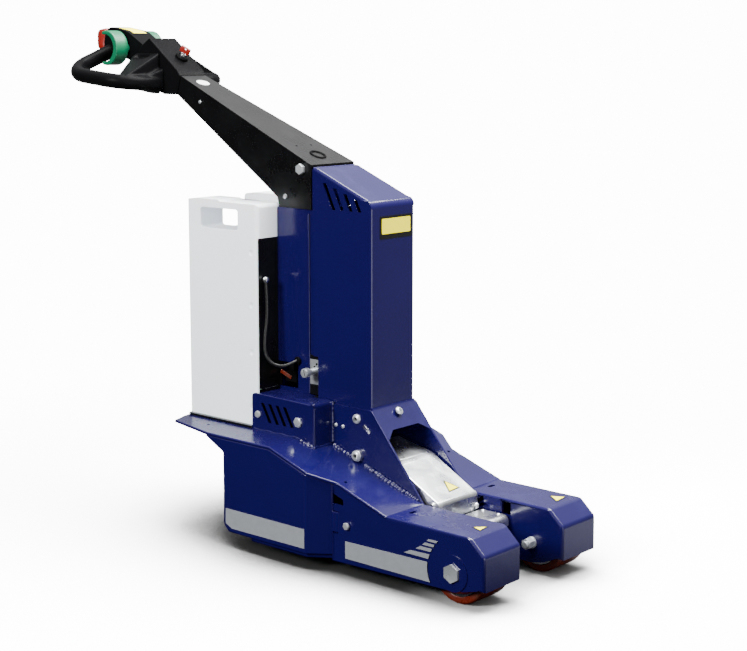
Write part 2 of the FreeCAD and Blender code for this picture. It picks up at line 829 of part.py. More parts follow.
# The nose rises and narrows towards the operator, and is crowned along its top
nose_side = prism_y(
    [
        (valley_x + 4.0, valley_z - 2.0),
        (valley_x, valley_z),
        (valley_x - 56.0, nose_top - 14.0, 60.0),
        (nose_end_x - 4.0, nose_top, 30.0),
        (nose_end_x - 8.0, nose_under + 14.0),
        (nose_end_x + 24.0, nose_under, 20.0),
        (valley_x, nose_under - 2.0),
    ],
    -nose_half, nose_half)
nose_plan = prism_z(
    [
        (valley_x + 4.0, -nose_half),
        (valley_x - 60.0, -nose_half, 60.0),
        (nose_end_x - 8.0, -nose_tip_half),
        (nose_end_x - 8.0, nose_tip_half),
        (valley_x - 60.0, nose_half, 60.0),
        (valley_x + 4.0, nose_half),
    ],
    0.0, reach)
nose = nose_side.common(nose_plan).cut(console)
save("head_nose", nose)

button_end_x = nose_end_x - button_depth
button_side = prism_y(
    [
        (nose_end_x, nose_top - 1.5),
        (button_end_x, nose_top - 6.0, 22.0),
        (button_end_x, nose_under + 16.0, 16.0),
        (nose_end_x, nose_under + 14.0),
    ],
    -nose_half, nose_half)
button_plan = prism_z(
    [
        (nose_end_x + 2.0, -nose_tip_half),
        (button_end_x, -nose_tip_half, 20.0),
        (button_end_x, nose_tip_half, 20.0),
        (nose_end_x + 2.0, nose_tip_half),
    ],
    0.0, reach)
save("belly_button", button_side.common(button_plan).cut(nose))

# Grip loops: round tube at the rear and side, a deep bar where they leave the console
loop = tube(
    [
        (grip_front_x - 12.0, console_half - grip_r, grip_front_z - 3.0),
        (grip_front_x, grip_half, grip_front_z),
        (grip_rear_x, grip_half, grip_rear_z),
        (grip_rear_x, nose_tip_half, grip_rear_z + 46.0),
    ],
    grip_r)


def bar_ring(x, y, z, long, tall):
    # eight-sided section across the front bar
    pts = []
    for i in range(9):
        a = math.radians(45.0 * i + 22.5)
        pts.append(V(x + long * math.cos(a), y, z + tall * math.sin(a)))
    return Part.makePolygon(pts)


bar_end_y = grip_half - 2.4 * grip_r
bar = Part.makeLoft(
    [
        bar_ring(grip_front_x - 22.0, console_half - 2.0, grip_front_z - 3.0, 32.0, 24.0),
        bar_ring(grip_front_x - 6.0, bar_end_y, grip_front_z, grip_r, grip_r),
    ],
    True, True)
# a web closes the corner between bar and console, rising towards the console
web_out = grip_half - grip_r
web_plan = prism_z(
    [
        (grip_front_x - 6.0, console_half - 4.0),
        (grip_front_x - 6.0, web_out),
        (grip_front_x - web_back, web_out),
        (valley_x - 16.0, console_half + 10.0, 12.0),
        (valley_x - 16.0, console_half - 4.0),
    ],
    0.0, reach)
web_rise = prism_x(
    [
        (0.0, nose_under + 10.0),
        (console_half, nose_under + 8.0),
        (web_out, grip_front_z + grip_r),
        (web_out, grip_front_z),
        (console_half, nose_under - 24.0),
        (0.0, nose_under - 24.0),
    ],
    -reach, reach)
web = web_plan.common(web_rise)
window = prism_y(
    [
        (valley_x - 4.0, nose_under - 4.0, 5.0),
        (valley_x - 4.0, nose_under + 9.0, 5.0),
        (valley_x + 38.0, nose_under + 9.0, 5.0),
        (valley_x + 38.0, nose_under - 4.0, 5.0),
    ],
    console_half + 4.0, web_out - 20.0)
web = web.cut(window)
loop = join([loop, bar, web]).cut(console).cut(nose)
loop = sorted(loop.Solids, key=lambda s: s.Volume)[-1]
save("handle_left", loop)
save("handle_right", mirror(loop))

wing_in = nose_half + wing_gap
wing = rod_y(wing_x, wing_z, wing_r, wing_in, wing_in + wing_width)
wing_hollow = rod_y(wing_x - wing_slim, wing_z, wing_r - wing_wall, wing_in - 1.0, wing_in + wing_width + 1.0)
wing = wing.cut(wing_hollow)
wing = wing.cut(box(wing_x - 2.0 * wing_r, wing_x - wing_r / 3.0, 0.0, reach, 0.0, reach))
wing_stub = rod_y(wing_x + wing_r - wing_wall, wing_z, wing_wall, nose_tip_half, wing_in + wing_wall)
wing_stub = wing_stub.cut(nose)
save("throttle_wings", both(join([wing, wing_stub])))

face_run = console_face[0] - ridge_x
face_rise = ridge_z - console_face[1]
face_length = math.hypot(face_run, face_rise)
key_back = 0.43               # of the way up the console's face
key_y = 5.0
key_axis = V(face_rise / face_length, 0.0, face_run / face_length)
key_foot = V(console_face[0] - key_back * face_run, key_y, console_face[1] + key_back * face_rise)
save("key_switch", Part.makeCylinder(key_r, key_r * 0.75, key_foot, key_axis))

# ---------------------------------------------------------------- battery
tray_corner = 6.0
tray = prism_z(
    [
        (case_front_x, tray_half),
        (case_rear_x + tray_corner, tray_half),
        (case_rear_x + 2.0, tray_half - tray_corner),
        (case_rear_x + 2.0, -tray_half + tray_corner),
        (case_rear_x + tray_corner, -tray_half),
        (case_front_x, -tray_half),
    ],
    deck_rear_top, deck_rear_top + tray_z)
inside_hood = hood_half - sheet - face_gap
tray = tray.cut(box(hood_rear_x - face_gap, reach, inside_hood, reach, 0.0, reach))
tray = tray.cut(box(hood_rear_x - face_gap, reach, -reach, -inside_hood, 0.0, reach))
save("battery_tray", tray)

case_plan = [
    (case_rear_x, -case_half, case_round),
    (case_front_x, -case_half, case_round),
    (case_front_x, case_half, case_round),
    (case_rear_x, case_half, case_round),
]
cheek_profile = [
    (case_rear_x, case_bottom),
    (case_rear_x, case_top - case_hump, case_round),
    (case_rear_x + case_hump_start, case_top, 20.0),
    (case_rear_x + case_hump_end, case_top, 6.0),
    (case_rear_x + case_hump_end + 6.0, case_top - case_hump, 6.0),
    (case_front_x, case_top - case_hump, case_round),
    (case_front_x, case_bottom),
]
case = prism_z(case_plan, case_bottom, case_top).common(prism_y(cheek_profile, -case_half, case_half))
channel_half = case_half - case_cheek
case = case.cut(prism_x(
    [
        (-channel_half, case_shoulder_z, 8.0),
        (channel_half, case_shoulder_z, 8.0),
        (channel_half, case_top + 1.0),
        (-channel_half, case_top + 1.0),
    ],
    case_rear_x - 1.0, case_front_x + 1.0))
case = case.cut(box(case_rear_x + case_wall, case_front_x - case_wall, -case_half + case_wall,
                    case_half - case_wall, case_bottom + case_wall, case_shoulder_z - case_wall))
hole_x0 = case_rear_x + grip_hole_start
hole_x1 = hole_x0 + grip_hole_length
hole_z0 = case_shoulder_z + grip_hole_rise
hole_z1 = hole_z0 + grip_hole_height
case = case.cut(prism_y(
    [(hole_x0, hole_z0, 6.0), (hole_x1, hole_z0, 6.0), (hole_x1, hole_z1, 6.0), (hole_x0, hole_z1, 6.0)],
    -reach, reach))
save("battery_case", case)
block = box(case_rear_x + case_wall, case_front_x - case_wall, -case_half + case_wall,
            case_half - case_wall, case_bottom + case_wall, case_bottom + case_wall + block_height)
save("battery_block", block)

# Black contact plate between the case's front face and the column's back
contact_bottom = hood_top + 7.0
contact = box(case_front_x, core_rear_x - face_gap, -case_half + 2.0, case_half - 2.0, contact_bottom,
              case_shoulder_z - 1.0)
save("contact_plate", contact)

# Lead from the contact plate's gland to the grommet in the column's side
gland_x0 = core_rear_x - face_gap
gland = box(gland_x0, gland_x0 + gland_out, gland_y - gland_size / 2.0, gland_y + gland_size / 2.0,
            gland_z, gland_z + gland_size)
save("lead_gland", gland)
grommet = rod_y(lead_end_x, lead_end_z, grommet_r, -core_half - grommet_length, -core_half)
save("column_grommet", grommet)
lead_x = gland_x0 + gland_out / 2.0
lead_pts = [
    (lead_x, gland_y, gland_z),
    (lead_x + 2.0, gland_y + 1.0, gland_z - 36.0),
    (lead_x + 3.0, gland_y - 1.0, gland_z - 74.0),
    (lead_x + 2.0, gland_y - 6.0, gland_z - 106.0),
    (lead_x + 4.0, gland_y - 9.0, gland_z - 133.0),
    (lead_x + 14.0, gland_y - 8.0, gland_z - 153.0),
    (lead_x + 30.0, gland_y + 2.0, gland_z - 163.0),
    (lead_x + 44.0, gland_y + 15.0, gland_z - 161.0),
    (lead_end_x, -core_half - grommet_length, lead_end_z),
]
save("battery_lead", tube(lead_pts, lead_r))

# Plug inside the opening in the column's side
plug = box(core_rear_x + 16.0, core_rear_x + 46.0, -core_half + sheet, -core_half + 6.0 * sheet,
           hood_top + 18.0, hood_top + 38.0)
plug_foot = box(core_rear_x + 24.0, core_rear_x + 38.0, -core_half + sheet, -core_half + 5.0 * sheet,
                hood_top + 38.0, hood_top + socket_height)
save("charge_socket", join([plug, plug_foot]))

# ---------------------------------------------------------------- drive axle
housing_half = 62.0
housing_bottom = 55.0
housing_top = 150.0
sleeve_end = drive_in - hub_clear
shaft_end = drive_in + drive_width + hub_clear
save("drive_unit", join([
    box(drive_x - 60.0, drive_x + 60.0, -housing_half, housing_half, housing_bottom, housing_top),
    box(drive_x - 45.0, drive_x + 45.0, -housing_half + 12.0, housing_half - 12.0, housing_top, deck_under),
    rod_y(drive_x, drive_r, 2.0 * stub_r, -sleeve_end, sleeve_end),
    rod_y(drive_x, drive_r, stub_r, -shaft_end, shaft_end),
]))
drive_rim, drive_tread = tyred_wheel(drive_x, drive_r, drive_tyre, stub_r + fit, drive_in,
                                     drive_in + drive_width, 4.0)
save("drive_rim_left", drive_rim)
save("drive_tyre_left", drive_tread)
save("drive_rim_right", mirror(drive_rim))
save("drive_tyre_right", mirror(drive_tread))

# ---------------------------------------------------------------- lift arm
# Folded channel: its back runs from over the pivot down to the saddle's pin
back_top = lift_pivot_z + 15.0
knee_x = lift_pivot_x + 82.0
knee_z = lift_pivot_z - 4.0
nose_z = saddle_pin_z + 23.5
lift_outer = [
    (lift_pivot_x - 16.0, back_top - 4.0, 6.0),
    (lift_pivot_x - 6.0, back_top, 6.0),
    (knee_x, knee_z, 60.0),
    (lift_nose_x - 4.0, nose_z - 1.0, 12.0),
    (lift_nose_x, saddle_pin_z - 9.0),
    (lift_nose_x - 28.0, saddle_pin_z - 13.0),
    (lift_nose_x - 124.0, saddle_pin_z + 39.0),
    (lift_pivot_x - 10.0, lift_pivot_z - 18.0),
    (lift_pivot_x - 17.0, lift_pivot_z - 8.0),
]
lift_inner = [
    (lift_pivot_x - 40.0, back_top - lift_sheet),
    (lift_pivot_x - 6.0, back_top - lift_sheet),
    (knee_x - 1.5, knee_z - lift_sheet * 1.1, 54.0),
    (lift_nose_x - 9.0, nose_z - lift_sheet * 1.15),
    (lift_nose_x - 7.0, 0.0),
    (lift_pivot_x - 40.0, 0.0),
]
lift = prism_y(lift_outer, -lift_half, lift_half)
lift = lift.cut(prism_y(lift_inner, -lift_half + lift_sheet, lift_half - lift_sheet))
lift = lift.cut(rod_y(lift_pivot_x, lift_pivot_z, lift_pin_r + fit, -reach, reach))
lift = lift.cut(rod_y(saddle_pin_x, saddle_pin_z, saddle_pin_r, -reach, reach))
save("lift_arm", lift)

pin_head = 8.0
pin_end = hood_front_half + pin_head
lift_pin = join([
    rod_y(lift_pivot_x, lift_pivot_z, lift_pin_r, -pin_end, pin_end),
    rod_y(lift_pivot_x, lift_pivot_z, lift_pin_r + 3.0, hood_front_half, pin_end),
    rod_y(lift_pivot_x, lift_pivot_z, lift_pin_r + 3.0, -pin_end, -hood_front_half),
])
save("lift_pin", lift_pin)
pin_proud = 2.0
save("saddle_pin", rod_y(saddle_pin_x, saddle_pin_z, saddle_pin_r, -lift_half - pin_proud, lift_half + pin_proud))

# Saddle: top plate with a rolled front, and two ears on the pin inside the arm
ear_half = lift_half - lift_sheet - face_gap
saddle_x0 = lift_nose_x + 6.0
saddle_x1 = lift_nose_x + 70.0
saddle_low = saddle_top - 20.0
roll = [
    (saddle_x0, saddle_top - saddle_plate),
    (saddle_x0, saddle_top),
    (saddle_x1, saddle_top, 12.0),
    (saddle_x1, saddle_low),
    (saddle_x1 - saddle_plate, saddle_low),
    (saddle_x1 - saddle_plate, saddle_top - saddle_plate, 6.0),
]
ear_plan = [
    (saddle_pin_x - 11.0, saddle_pin_z + 6.0),
    (saddle_pin_x - 4.0, saddle_pin_z + 11.0),
    (saddle_pin_x + 2.0, saddle_pin_z + 8.0),
    (saddle_pin_x + 4.0, saddle_top - saddle_plate - 1.0),
    (saddle_x0, saddle_top - saddle_plate - 3.0),
    (saddle_x0, saddle_top - saddle_plate + 1.0),
    (saddle_x0 + 42.0, saddle_top - saddle_plate + 1.0),
    (saddle_x0 + 42.0, saddle_low + 1.0),
    (saddle_pin_x + 5.0, saddle_low + 1.0),
    (saddle_pin_x - 12.0, saddle_pin_z - 6.0),
]
ear = prism_y(ear_plan, ear_half - saddle_plate, ear_half)
saddle = join([prism_y(roll, -saddle_half, saddle_half), ear, mirror(ear)])
saddle = saddle.cut(rod_y(saddle_pin_x, saddle_pin_z, saddle_pin_r + fit, -reach, reach))
save("hitch_saddle", saddle)

print("done")
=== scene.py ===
import math

import bmesh
import bpy
from mathutils import Matrix, Vector


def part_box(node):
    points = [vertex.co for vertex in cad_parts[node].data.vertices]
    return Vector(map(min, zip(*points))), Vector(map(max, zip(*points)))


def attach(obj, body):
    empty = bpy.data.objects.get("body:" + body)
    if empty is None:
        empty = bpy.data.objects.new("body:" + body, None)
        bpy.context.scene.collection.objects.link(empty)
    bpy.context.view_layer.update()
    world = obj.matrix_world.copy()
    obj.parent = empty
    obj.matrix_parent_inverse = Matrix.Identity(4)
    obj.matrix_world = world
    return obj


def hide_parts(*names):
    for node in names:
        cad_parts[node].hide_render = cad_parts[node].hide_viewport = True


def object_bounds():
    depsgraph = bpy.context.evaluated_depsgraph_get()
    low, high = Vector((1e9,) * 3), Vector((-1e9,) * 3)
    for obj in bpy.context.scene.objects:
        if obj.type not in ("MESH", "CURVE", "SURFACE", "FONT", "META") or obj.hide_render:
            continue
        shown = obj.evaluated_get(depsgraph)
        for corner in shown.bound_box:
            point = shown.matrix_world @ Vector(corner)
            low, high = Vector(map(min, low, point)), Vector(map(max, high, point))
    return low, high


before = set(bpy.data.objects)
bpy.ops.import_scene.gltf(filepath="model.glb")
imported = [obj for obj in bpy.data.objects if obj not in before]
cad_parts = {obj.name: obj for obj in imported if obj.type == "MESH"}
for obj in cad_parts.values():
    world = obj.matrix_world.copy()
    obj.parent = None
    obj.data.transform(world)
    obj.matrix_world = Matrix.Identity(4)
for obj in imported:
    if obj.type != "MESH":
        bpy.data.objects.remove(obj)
cad_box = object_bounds()
low, high = Vector(cad_box[0]), Vector(cad_box[1])

# ---------------- camera
# A long lens about three metres off, at the height of the tiller's grips,
# looking at the machine from its front right corner.
camera_data = bpy.data.cameras.new("camera")
camera_data.sensor_width = 36.0
camera_data.lens = 76.1
camera_data.shift_y = -0.061
camera = bpy.data.objects.new("camera", camera_data)
bpy.context.collection.objects.link(camera)
camera.location = (high.x + 1.5805, -2.2485, 0.9599)
camera.rotation_euler = (math.pi / 2.0 - 0.14381, 0.0, 0.722979)
bpy.context.scene.camera = camera

# ---------------- battery lead
# Limp twin lead in a 7 mm black sheath. It leaves the gland on the case's
# contact plate, hangs, and goes through a rubber grommet into the column.
lead_points = [
    (0.0042, -0.0970, 0.5120), (0.0062, -0.0960, 0.4760), (0.0072, -0.0980, 0.4380),
    (0.0062, -0.1030, 0.4060), (0.0082, -0.1060, 0.3790), (0.0182, -0.1050, 0.3590),
    (0.0342, -0.0950, 0.3490), (0.0482, -0.0820, 0.3510), (0.0540, -0.0635, 0.3580),
]
lead_diameter = 0.007
lead_curve = bpy.data.curves.new("battery_lead_cord", "CURVE")
lead_curve.dimensions = "3D"
lead_curve.bevel_depth = 1.0
lead_curve.bevel_resolution = 4
lead_curve.resolution_u = 12
lead_curve.use_fill_caps = True
lead_line = lead_curve.splines.new("NURBS")
lead_line.points.add(len(lead_points) - 1)
for point, at in zip(lead_line.points, lead_points):
    point.co = (*at, 1.0)
    point.radius = lead_diameter / 2.0
lead_line.order_u = 3
lead_line.use_endpoint_u = True
lead = bpy.data.objects.new("battery_lead_cord", lead_curve)
bpy.context.collection.objects.link(lead)
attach(lead, "chassis")
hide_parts("battery_lead")

# ---------------- studio
# A round sheet of pale paper that fades into a white room, with one wide soft
# light overhead, a second one low on the left, and grey flags at both sides.


def to_linear(hex_colour):
    # sRGB hex text to linear red, green, blue, alpha
    values = []
    for i in (0, 2, 4):
        c = int(hex_colour[i:i + 2], 16) / 255.0
        values.append(c / 12.92 if c <= 0.04045 else ((c + 0.055) / 1.055) ** 2.4)
    return (*values, 1.0)


def add_node(tree, kind, first=(), **parts):
    # adds one node. First are its first inputs, in order: a map range's are its value, two
    # limits from and two limits to. A part named in small letters is one of its settings; a
    # capitalised name, or i and a number, is an input. An input may be a colour in hex,
    # another node (its first output) or one output of another node.
    node = tree.nodes.new("ShaderNode" + kind)
    inputs = dict(enumerate(first))
    for key, value in parts.items():
        if key[0] == "i" and key[1:].isdigit():
            inputs[int(key[1:])] = value
        elif key[0].islower():
            setattr(node, key, value)
        else:
            inputs[key.replace("_", " ")] = value
    for key, value in inputs.items():
        if isinstance(value, bpy.types.Node):
            value = next(output for output in value.outputs if output.enabled)
        if isinstance(value, bpy.types.NodeSocket):
            tree.links.new(value, node.inputs[key])
        else:
            node.inputs[key].default_value = to_linear(value) if isinstance(value, str) else value
    return node


def new_material(name):
    # an empty node material, its tree and the point that is being shaded
    material = bpy.data.materials.new(name)
    material.use_nodes = True
    material.node_tree.nodes.clear()
    place = add_node(material.node_tree, "TexCoord").outputs["Object"]
    return material, material.node_tree, place


bpy.ops.object.select_all(action="DESELECT")
bpy.ops.mesh.primitive_circle_add(vertices=96, radius=2.6, fill_type="NGON")
floor = bpy.context.object
floor.name = "floor"
# matt paper: fine fibre grain, no gloss, and a torn-soft edge where it ends
paper, tree, place = new_material("floor_paper")
grain = add_node(tree, "TexNoise", Vector=place, Scale=400.0, Detail=3.0)
# light hardly reaches the paper close under the machine
corner = add_node(tree, "AmbientOcclusion", samples=12, Distance=0.42).outputs["AO"]
shade = add_node(tree, "MapRange", (corner, 0.5, 0.985, 0.01, 2.2), interpolation_type="SMOOTHSTEP")
# more light comes in under the fork tips than under the deck
where = add_node(tree, "SeparateXYZ", Vector=place).outputs["X"]
tips = add_node(tree, "MapRange", (where, 0.38, 0.64, 0.0, 0.45), interpolation_type="SMOOTHSTEP")
shade = add_node(tree, "Math", (shade, tips), operation="MAXIMUM")
tone = add_node(tree, "Math", (grain, 0.03, shade), operation="MULTIPLY_ADD")
lit_paper = add_node(tree, "BsdfDiffuse", Color=tone)
# the machine is shielded from the paper's glare, less so at its far right
right = add_node(tree, "VectorMath", (place, (0.66, 0.75, 0.0)), operation="DOT_PRODUCT")
glare = add_node(tree, "MapRange", (right, 0.25, 0.9), interpolation_type="SMOOTHSTEP")
grey = add_node(tree, "Mix", data_type="RGBA", i0=glare, i6="0c0c0e", i7="77777a")
shielded = add_node(tree, "BsdfDiffuse", Color=grey)
to_camera = add_node(tree, "LightPath").outputs["Is Camera Ray"]
matt = add_node(tree, "MixShader", (to_camera, shielded, lit_paper))
clear = add_node(tree, "BsdfTransparent")
reach = add_node(tree, "VectorMath", (place,), operation="LENGTH")
fade = add_node(tree, "MapRange", (reach, 0.7, 1.7), interpolation_type="SMOOTHSTEP")
blend = add_node(tree, "MixShader", (fade, matt, clear))
add_node(tree, "OutputMaterial", Surface=blend)
floor.data.materials.append(paper)

world = bpy.data.worlds.new("studio")
bpy.context.scene.world = world
world.use_nodes = True
tree = world.node_tree
tree.nodes.clear()
direction = add_node(tree, "TexCoord").outputs["Generated"]
# the white wall stands behind the machine, the grey flags beside and before it, the
# ceiling above, and a bright strip low on the right runs a line of light down every
# rounded corner
glow = 0.0
for towards, start, end, least, most in (
    ((-0.66, 0.75, 0.0), 0.35, 0.95, 0.0, 0.58), ((0.66, 0.75, 0.0), 0.3, 1.0, 0.0, 0.3),
    ((0.0, 0.0, 1.0), 0.22, 0.88, 0.02, 1.35), ((0.95, -0.3, -0.1), 0.88, 0.97, 0.0, 4.2),
):
    side = add_node(tree, "VectorMath", (direction, towards), operation="DOT_PRODUCT")
    wall = add_node(tree, "MapRange", (side, start, end, least, most), interpolation_type="SMOOTHSTEP")
    glow = add_node(tree, "Math", (glow, wall), operation="ADD")
room = add_node(tree, "Background", Color="ffffff", Strength=glow)
seen = add_node(tree, "Background", Color="ffffff", Strength=14.0)
to_camera = add_node(tree, "LightPath").outputs["Is Camera Ray"]
either = add_node(tree, "MixShader", (to_camera, room, seen))
add_node(tree, "OutputWorld", Surface=either)

for name, spot, size, power in (
    ("overhead_light", (0.5, 0.6, 3.0), 2.4, 610.0), ("side_light", (-0.2, -3.2, 1.9), 1.0, 235.0),
):
    lamp_data = bpy.data.lights.new(name, "AREA")
    lamp_data.shape = "SQUARE"
    lamp_data.size = size
    lamp_data.energy = power
    lamp = bpy.data.objects.new(name, lamp_data)
    bpy.context.collection.objects.link(lamp)
    lamp.location = spot
    lamp.rotation_euler = (Vector((0.0, 0.0, 0.4)) - lamp.location).to_track_quat("-Z", "Y").to_euler()

# ---------------- painted body
# The deck, forks, skirts, hoods and column are folded and welded steel plate,
# powder coated in one glossy dark blue. Every cut edge is slightly rounded.
sides = (("right", -1.0), ("left", 1.0))


def take(piece):
    # makes one object the only selected and active one
    bpy.ops.object.select_all(action="DESELECT")
    piece.select_set(True)
    bpy.context.view_layer.objects.active = piece


def modify(piece, kind, **settings):
    # adds a modifier, sets it and applies it
    take(piece)
    change = piece.modifiers.new("change", kind)
    for key, value in settings.items():
        setattr(change, key, value)
    bpy.ops.object.modifier_apply(modifier="change")


def edit(piece, *steps):
    # runs operators, each with its settings, on the whole mesh in edit mode
    take(piece)
    bpy.ops.object.mode_set(mode="EDIT")
    bpy.ops.mesh.select_all(action="SELECT")
    for operator, settings in steps:
        operator(**settings)
    bpy.ops.object.mode_set(mode="OBJECT")


def smooth(piece, degrees=35.0):
    # shades a piece smooth except at edges sharper than this
    take(piece)
    bpy.ops.object.shade_smooth_by_angle(angle=math.radians(degrees))


def finish_piece(piece, name, slot, material, *nodes, body="chassis"):
    # names a finished piece, gives it its paint and says what it rides on and stands for
    piece.name = name
    piece.data.name = name
    piece.data.materials.clear()
    piece.data.materials.append(material)
    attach(piece, body)
    if nodes:
        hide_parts(*nodes)


def added(operator, **settings):
    # adds a simple shape, with its place and size kept in its mesh
    bpy.ops.object.select_all(action="DESELECT")
    operator(**settings)
    bpy.ops.object.transform_apply()
    return bpy.context.object


def block(corner, opposite):
    # a box between two corners
    corner, opposite = Vector(corner), Vector(opposite)
    return added(bpy.ops.mesh.primitive_cube_add, size=1.0, location=(corner + opposite) / 2.0,
                 scale=[abs(span) for span in opposite - corner])


def rod(centre, along, radius, length, corners=24):
    # a round bar on its centre
    return added(bpy.ops.mesh.primitive_cylinder_add, vertices=corners, radius=radius, depth=length,
                 location=centre, rotation=Vector(along).to_track_quat("Z", "Y").to_euler())


def cut_out(piece, cutters):
    # takes other shapes out of a piece
    for cutter in cutters:
        modify(piece, "BOOLEAN", operation="DIFFERENCE", solver="EXACT", object=cutter)
        bpy.data.objects.remove(cutter)


def rounded_copy(node, radius, segments=2, least_angle=32.0, cutters=(), corner=0.0, cross=1.0):
    # a copy of a packed plate with its doubles merged, its sharp edges rounded and small holes cut
    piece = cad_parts[node].copy()
    piece.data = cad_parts[node].data.copy()
    piece.parent = None
    bpy.context.collection.objects.link(piece)
    edit(piece, (bpy.ops.mesh.remove_doubles, {"threshold": 0.00002}),
         (bpy.ops.mesh.dissolve_limited, {"angle_limit": math.radians(0.6), "delimit": set()}))
    if corner > 0.0:
        # the long folds between two broad faces are rounder than the cut edges, and
        # those that run across the machine may be rounder still
        folds = bmesh.new()
        folds.from_mesh(piece.data)
        weight = folds.edges.layers.float.new("bevel_weight_edge")
        for edge in folds.edges:
            if len(edge.link_faces) == 2 and edge.is_convex and edge.calc_length() > 0.018:
                narrow = min(face.calc_area() for face in edge.link_faces) / edge.calc_length()
                if edge.calc_face_angle() > math.radians(20.0) and narrow > 0.016:
                    span = edge.verts[1].co - edge.verts[0].co
                    edge[weight] = 1.0 if abs(span.y) > 0.9 * span.length else 1.0 / cross
        folds.to_mesh(piece.data)
        folds.free()
        modify(piece, "BEVEL", width=corner * cross, segments=5, limit_method="WEIGHT",
               use_clamp_overlap=False, miter_outer="MITER_ARC")
    if radius > 0.0:
        modify(piece, "BEVEL", width=radius, segments=segments, angle_limit=math.radians(least_angle),
               miter_outer="MITER_ARC")
    if any(face.area < 1e-10 for face in piece.data.polygons):
        # a bevel held back by a tiny edge leaves faces with no area
        edit(piece, (bpy.ops.mesh.dissolve_degenerate, {"threshold": 0.00002}))
    cut_out(piece, cutters)
    smooth(piece, 40.0)
    modify(piece, "WEIGHTED_NORMAL", keep_sharp=True, weight=100)
    return piece


def finish_copy(node, ending, slot, material, radius, segments=2, body="chassis", **shape):
    # a rounded copy that stands for its node as it is
    piece = rounded_copy(node, radius, segments, **shape)
    finish_piece(piece, node + ending, slot, material, node, body=body)


def scaled(vertex, x, z, factor):
    # draws a vertex towards an axis that lies across the machine, or away from it
    vertex.co.x = x + (vertex.co.x - x) * factor
    vertex.co.z = z + (vertex.co.z - z) * factor


# gloss powder coat: baked polyester film with a fine orange-peel skin, which
# breaks up its reflections, and a little dust and rubbing on what lies flat
blue_coat, tree, place = new_material("blue_powder_coat")
film = add_node(tree, "TexNoise", Vector=place, Scale=5.0, Detail=4.0, Roughness=0.55)
tone = add_node(tree, "Mix", data_type="RGBA", i0=film, i6="0b0535", i7="0e073f")
# peel pits about 3 mm apart, drawn twice as coarse so that they show
peel = add_node(tree, "TexNoise", Vector=place, Scale=170.0, Detail=2.0, Roughness=0.4)
wave = add_node(tree, "TexNoise", Vector=place, Scale=22.0, Detail=1.0)
peel_bump = add_node(tree, "Bump", Height=peel, Strength=0.05, Distance=0.002)
sheet_bump = add_node(tree, "Bump", Height=wave, Normal=peel_bump, Strength=0.06, Distance=0.01)
# dust lies only on what faces up
facing = add_node(tree, "NewGeometry").outputs["Normal"]
up = add_node(tree, "SeparateXYZ", Vector=facing).outputs["Z"]
smear = add_node(tree, "TexNoise", Vector=place, Scale=14.0, Detail=6.0, Roughness=0.65, Distortion=0.6)
smear_step = add_node(tree, "MapRange", (smear, 0.5, 0.75))
dust = add_node(tree, "Math", (up, smear_step), operation="MULTIPLY", use_clamp=True)
film_dust = add_node(tree, "MapRange", (up, 0.96, 1.0, 0.17, 0.26))
rough = add_node(tree, "Math", (dust, 0.1, film_dust), operation="MULTIPLY_ADD")
dust_share = add_node(tree, "Math", (dust, 0.18), operation="MULTIPLY")
dusty = add_node(tree, "Mix", data_type="RGBA", i0=dust_share, i6=tone, i7="262a5c")
coat = add_node(tree, "BsdfPrincipled", Base_Color=dusty, Roughness=rough, Normal=sheet_bump, IOR=1.5)
add_node(tree, "OutputMaterial", Surface=coat)

# two pairs of drain holes go through the deck, in its slope and in its flat
deck_cutters = []
for sign in (-1.0, 1.0):
    deck_cutters.append(rod((0.2654, sign * 0.152, 0.1698), (0.319, 0.0, 0.948), 0.0035, 0.012))
    deck_cutters.append(rod((-0.105, sign * 0.154, 0.221), (0.0, 0.0, 1.0), 0.0032, 0.012))
# two bent slits part each fork box's skin from the skirt
slit_depth = 0.003
slits = (
    (0.2515, 0.1165, 0.2535, 0.1630), (0.2530, 0.1150, 0.2647, 0.1172),
    (0.2515, 0.0240, 0.2535, 0.0745), (0.2530, 0.0722, 0.2733, 0.0745),
)
arm_cutters = {}
for side, sign in sides:
    face = sign * max(abs(v[1]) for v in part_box("arm_" + side))
    arm_cutters[side] = [block((x0, face + sign * 0.001, z0), (x1, face - sign * slit_depth, z1))
                         for x0, z0, x1, z1 in slits]
# the four slanted vents of the rear hood are undercut, so that only dark shows in them
vent_foot, vent_pitch, vent_slant, undercut = 0.2385, 0.0202, 0.57, 0.0060
vent_cutters = []
for sign in (-1.0, 1.0):
    for i in range(4):
        pocket = block((0.0300, sign * 0.1180, vent_foot), (0.0378, sign * 0.1110, 0.2765))
        for vertex in pocket.data.vertices:
            if vertex.co.x < 0.034 and abs(vertex.co.y) < 0.115:
                vertex.co.x -= undercut
            vertex.co.x += vent_pitch * i - (vertex.co.z - vent_foot) * vent_slant
        vent_cutters.append(pocket)

